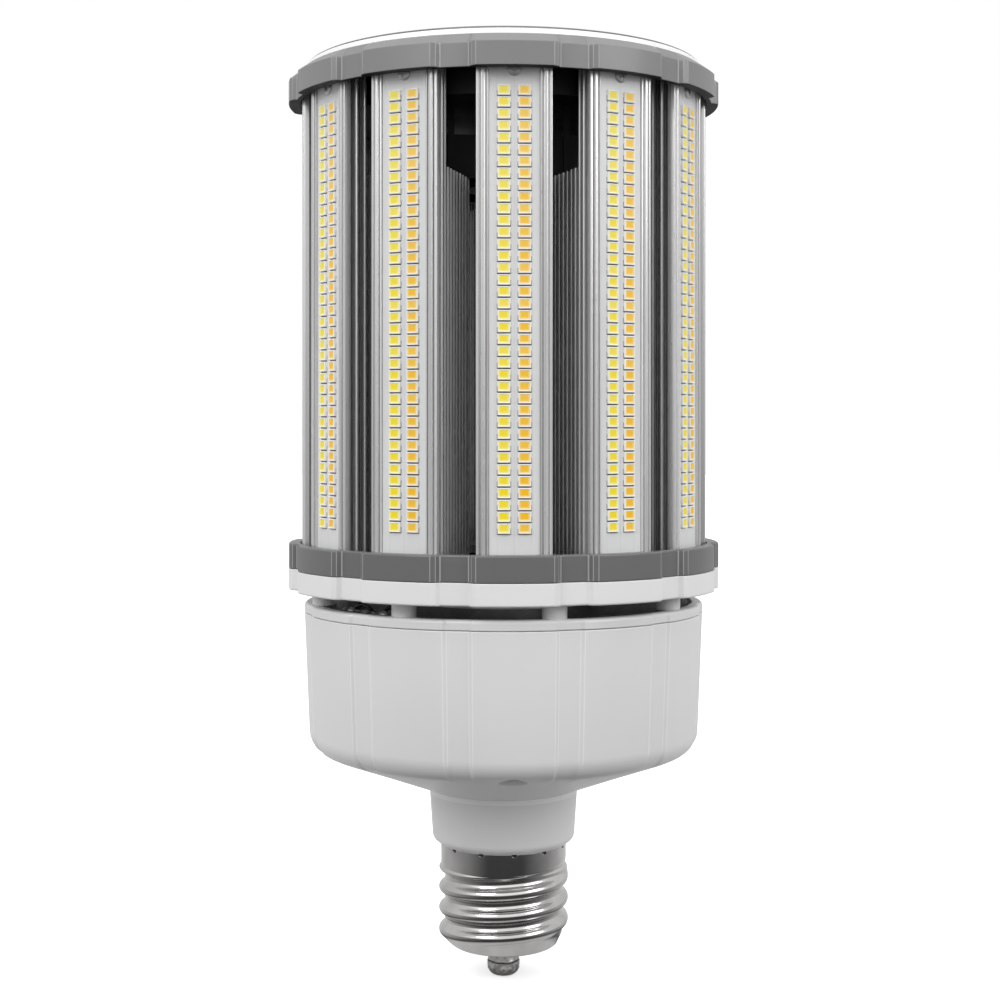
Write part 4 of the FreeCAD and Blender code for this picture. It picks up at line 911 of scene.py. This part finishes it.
def makeWiring(s):
    top = s["bottom"] + s["thick"]
    annulus = rounded([(s["bore"], s["bottom"]), (s["rim"], s["bottom"]), (s["rim"], top, 0.15),
                       (s["bore"], top, 0.15)], 2)
    addPiece("wiringBoard", lathe(annulus, s["steps"]), "wiring", "wiring_board")

    def place(degrees, radius, height):
        turn = math.radians(degrees)
        return (Matrix.Translation((radius * math.sin(turn), -radius * math.cos(turn), height))
                @ Matrix.Rotation(turn, 4, "Z"))

    bm = bmesh.new()
    for turn, size in s["joints"]:
        bmesh.ops.create_icosphere(bm, subdivisions=2, radius=1, matrix=place(turn, s["jointCircle"], top)
                                   @ Matrix.Diagonal((size, 1.0, size * s["jointHigh"], 1)))
    bmesh.ops.bisect_plane(bm, geom=bm.verts[:] + bm.edges[:] + bm.faces[:], plane_co=(0, 0, top),
                           plane_no=(0, 0, 1), clear_inner=True)
    bmesh.ops.holes_fill(bm, edges=[edge for edge in bm.edges if len(edge.link_faces) == 1])
    addPiece("solderJoints", bm, "solder", None)

    bm = bmesh.new()
    for start, end in s["wires"]:
        foot = place(start, s["jointCircle"] - s["wireInset"], top + s["wireRadius"])
        rim = bmesh.ops.create_circle(bm, cap_ends=True, segments=10, radius=s["wireRadius"],
                                      matrix=foot @ Matrix.Rotation(math.pi / 2, 4, "Y"))["verts"]
        step = math.radians((end - start) / s["wireSteps"])
        heights = [math.sin(math.pi * k / s["wireSteps"]) * s["wireLift"] for k in range(s["wireSteps"] + 1)]
        for height, following in zip(heights, heights[1:]):
            caps = {face for vert in rim for face in vert.link_faces if all(v in rim for v in face.verts)}
            rim = newVerts(bmesh.ops.extrude_face_region(bm, geom=list(caps)))
            turnRound(bm, step, rim)
            bmesh.ops.translate(bm, vec=(0, 0, following - height), verts=rim)
    bmesh.ops.recalc_face_normals(bm, faces=bm.faces)
    addPiece("wireEnds", bm, "sleeve", None, sharp=60)
    print("wiring done")


finishes = {
    "housing": mouldedPlastic("white_moulding", 232, 0.36, coat=0.4),
    "seat": mouldedPlastic("white_ring_moulding", 238, 0.4),
    "upperRing": mouldedPlastic("upper_ring_moulding", 135, 0.36, coat=0.15),
    "lowerRing": mouldedPlastic("lower_ring_moulding", 108, 0.36, coat=0.15),
    # painted highlight on the rings' edge rounds
    "ringEdgeHighlight": mouldedPlastic("ring_edge_painted_highlight", 168, 0.36, grain=0.00001, coat=0.4),
    "bar": extrudedAluminium("extruded_aluminium", 232, 0.26),
    "shell": platedMetal("bright_nickel", 232, 0.12, 700, (1, 0.99, 0.975)),
    "contact": cappedSolder("dull_solder", 206, (1, 0.99, 0.97), shellShape),
    "screw": platedMetal("zinc_plate", 226, 0.42, 1200, (1, 1, 0.985)),
    "solder": platedMetal("solder", 205, 0.2, 600),
    "black": blackFinish("black_paint", 4, 0.65, 0.2),
    "fan": blackFinish("black_moulding", 5, 0.6, 0.2),
    "whiteBoard": boardMask("white_solder_mask", 226, stripShape),
    "frameWhite": mouldedPlastic("emitter_frame", 253, 0.4, grain=0.00001),
    # painted highlight on the housing's neck lip and edge rounds
    "housingHighlight": mouldedPlastic("white_moulding_painted_highlight", 246, 0.36, coat=0.5),
    "cool": phosphor("cool_phosphor", display(255, 230, 4), display(252, 238, 124), display(255, 250, 192),
                     stripShape),
    "warm": phosphor("warm_phosphor", display(255, 196, 6), display(253, 219, 118), display(255, 236, 190),
                     stripShape),
    "lens": clearPlastic("clear_cap"),
    # painted glow: the cap's side wall is opaque white with emission, for the light seen through it
    "lensWallPaintedGlow": mouldedPlastic("clear_cap_wall_painted_glow", 254, 0.4, grain=0.00001, paintedGlow=0.07),
    # painted shade: a dark grey line on the clear cap's rounded edge
    "lensEdgeShade": mouldedPlastic("clear_cap_edge_painted_shade", 104, 0.2, grain=0.00001, coat=0.5),
    "circuit": laminate("green_laminate", display(18, 50, 30), display(40, 84, 46)),
    "wiring": laminate("dark_laminate", display(24, 26, 26), display(60, 62, 60)),
    "ferrite": blackFinish("ferrite", 44, 0.6, 0.6),
    "sleeve": blackFinish("capacitor_sleeve", 36, 0.3, 0.5),
    "insulator": darkCeramic("dark_insulator"),
}
print("materials:", len(finishes))

nodeFinishes = {
    "base_insulator": "insulator", "driver_board": "circuit", "driver_transformer": "ferrite",
    "driver_capacitors": "sleeve", "top_plate": "black", "fan_frame": "fan", "fan_rotor": "fan",
    "fan_carrier": "fan",
}


def paintNodes():
    # the solids that keep their own shape get their finish here
    for name, finish in nodeFinishes.items():
        mesh = nodes[name].data
        mesh.materials.clear()
        mesh.materials.append(finishes[finish])
    print("nodes painted:", len(nodeFinishes))


makeRings(ringShape)
makeHousing(housingShape)
makeBase(shellShape)
makeStrips(stripShape)
makeScrews(screwShape, stripShape)
makeCap(capShape)
makeWiring(wiringShape)
paintNodes()


# Floor, light and camera. The camera's place is in millimetres, the rest in metres. A pair of values
# is where a change begins and where it is complete, as a distance or as the cosine of a direction.
studio = {
    "floorSize": 12.0, "paper": 0.9, "paperGlow": 0.5, "underfoot": 0.6, "underfootFront": 0.12,
    "frontSide": (0.4, -0.75), "footShade": (0.02, 0.06), "backSide": (-0.87, 0.87),
    "mirrorFoot": (0.03, 0.06), "nearFrom": (0.005, 0.012), "nearTo": (0.024, 0.034), "nearLit": 0.85,
    "farFrom": (0.45, 0.95), "mirrorDark": 0.05, "mirrorSide": 0.6, "mirrorFar": 0.32, "fill": 0.9,
    "skyFront": (-0.1, -0.5), "skyRise": (0.03, 0.2), "zenith": (0.92, 0.96),
    "lamps": (("key", (-0.85, -1.0, 1.0), 0.9, 7.4), ("side", (1.1, -0.75, 0.75), 0.8, 5.0),
              ("over", (0.0, -0.1, 1.4), 0.9, 3.0)),
    "aim": 0.16, "cameraDistance": 530.0, "cameraTurn": -2.7, "cameraHeight": 165.3, "cameraAside": -1.07,
    "lens": 62.58, "sensor": 36.0, "shiftDown": -0.069,
}


def paperFinish(s):
    # white to the camera; what the object gets from it is duller, and metal sees a light and a dark side
    look = finishOf("pale_floor")
    camera = look.node("LightPath", out="Is Camera Ray")
    mirror = look.node("LightPath", out="Is Glossy Ray")

    def matt(level):
        return look.node("BsdfDiffuse", None, {"Color": (level, level, level, 1)})

    def glowing(strength):
        return look.node("Emission", None, {"Color": (1, 1, 1, 1), "Strength": strength})

    away = (look.spot(0) * look.spot(0) + look.spot(1) * look.spot(1)).root()
    toward = look.spot(1) / away
    front = look.spread(toward, *s["frontSide"])
    paper = look.node("AddShader", None, {0: matt(s["paper"]), 1: glowing(s["paperGlow"])})
    dull = look.mixed(front * look.spread(away, *s["footShade"]), matt(s["underfoot"]),
                      matt(s["underfootFront"]))
    ramp = look.spread(toward, *s["backSide"])
    near = look.spread(away, *s["nearFrom"]) * look.spread(away, *s["nearTo"], s["nearLit"], 0.0)
    far = look.spread(away, *s["farFrom"], 0.0, s["mirrorFar"] / s["mirrorSide"])
    lit = (ramp * look.spread(away, *s["mirrorFoot"])).larger(near).larger(far)
    mirrored = look.mixed(lit, glowing(s["mirrorDark"]), glowing(s["mirrorSide"]))
    seen = look.mixed(camera, look.mixed(mirror, dull, mirrored), paper)
    look.node("OutputMaterial", None, {"Surface": seen})
    return look.owner


def makeFloor(s):
    floor = bmesh.new()
    bmesh.ops.create_grid(floor, x_segments=1, y_segments=1, size=s["floorSize"] / 2)
    ground = meshObject("floor", floor)
    ground.data.materials.append(paperFinish(s))


def makeRoom(s):
    # white to the camera and through the clear cap; metal sees a bright front and dimmer sides
    world = bpy.data.worlds.new("studio")
    bpy.context.scene.world = world
    room = Finish(world)
    camera = room.node("LightPath", out="Is Camera Ray")
    glass = room.node("LightPath", out="Is Transmission Ray")
    mirror = room.node("LightPath", out="Is Glossy Ray")

    def sky(strength):
        return room.node("Background", None, {"Color": (1, 1, 1, 1), "Strength": strength})

    white = sky(1.0)
    front = room.spread(room.spot(1, "Generated"), *s["skyFront"])
    height = room.spot(2, "Generated")
    sides = (s["mirrorSide"] - s["mirrorFar"]) / (1 - s["mirrorFar"])
    lit = front * room.spread(height, *s["skyRise"]) + (1 - front) * sides
    upper = room.mixed(lit, sky(s["mirrorFar"]), white)
    mirrored = room.mixed(room.spread(height, *s["zenith"]), upper, sky(s["mirrorDark"]))
    others = room.mixed(mirror, sky(s["fill"]), mirrored)
    room.node("OutputWorld", None, {"Surface": room.mixed(camera + glass, others, white)})


def makeLamps(s):
    for name, spot, size, power in s["lamps"]:
        data = bpy.data.lights.new(name, "AREA")
        data.shape = "DISK"
        data.size = size
        data.energy = power
        lamp = addObject(name, data)
        lamp.location = spot
        aim = Vector((0, 0, s["aim"])) - Vector(spot)
        lamp.rotation_euler = aim.to_track_quat("-Z", "Y").to_euler()


def makeCamera(s):
    turn = math.radians(s["cameraTurn"])
    right = Vector((math.cos(turn), math.sin(turn), 0))
    spot = Vector((math.sin(turn), -math.cos(turn), 0)) * s["cameraDistance"] + right * s["cameraAside"]
    data = bpy.data.cameras.new("camera")
    data.lens = s["lens"]
    data.sensor_width = s["sensor"]
    data.sensor_fit = "HORIZONTAL"
    data.shift_y = s["shiftDown"]
    camera = addObject("camera", data)
    camera.location = (spot.x * mm, spot.y * mm, s["cameraHeight"] * mm)
    camera.rotation_euler = (math.pi / 2, 0, turn)
    bpy.context.scene.camera = camera


makeFloor(studio)
makeRoom(studio)
makeLamps(studio)
makeCamera(studio)
bpy.context.scene.view_settings.view_transform = "Standard"
print("studio done")
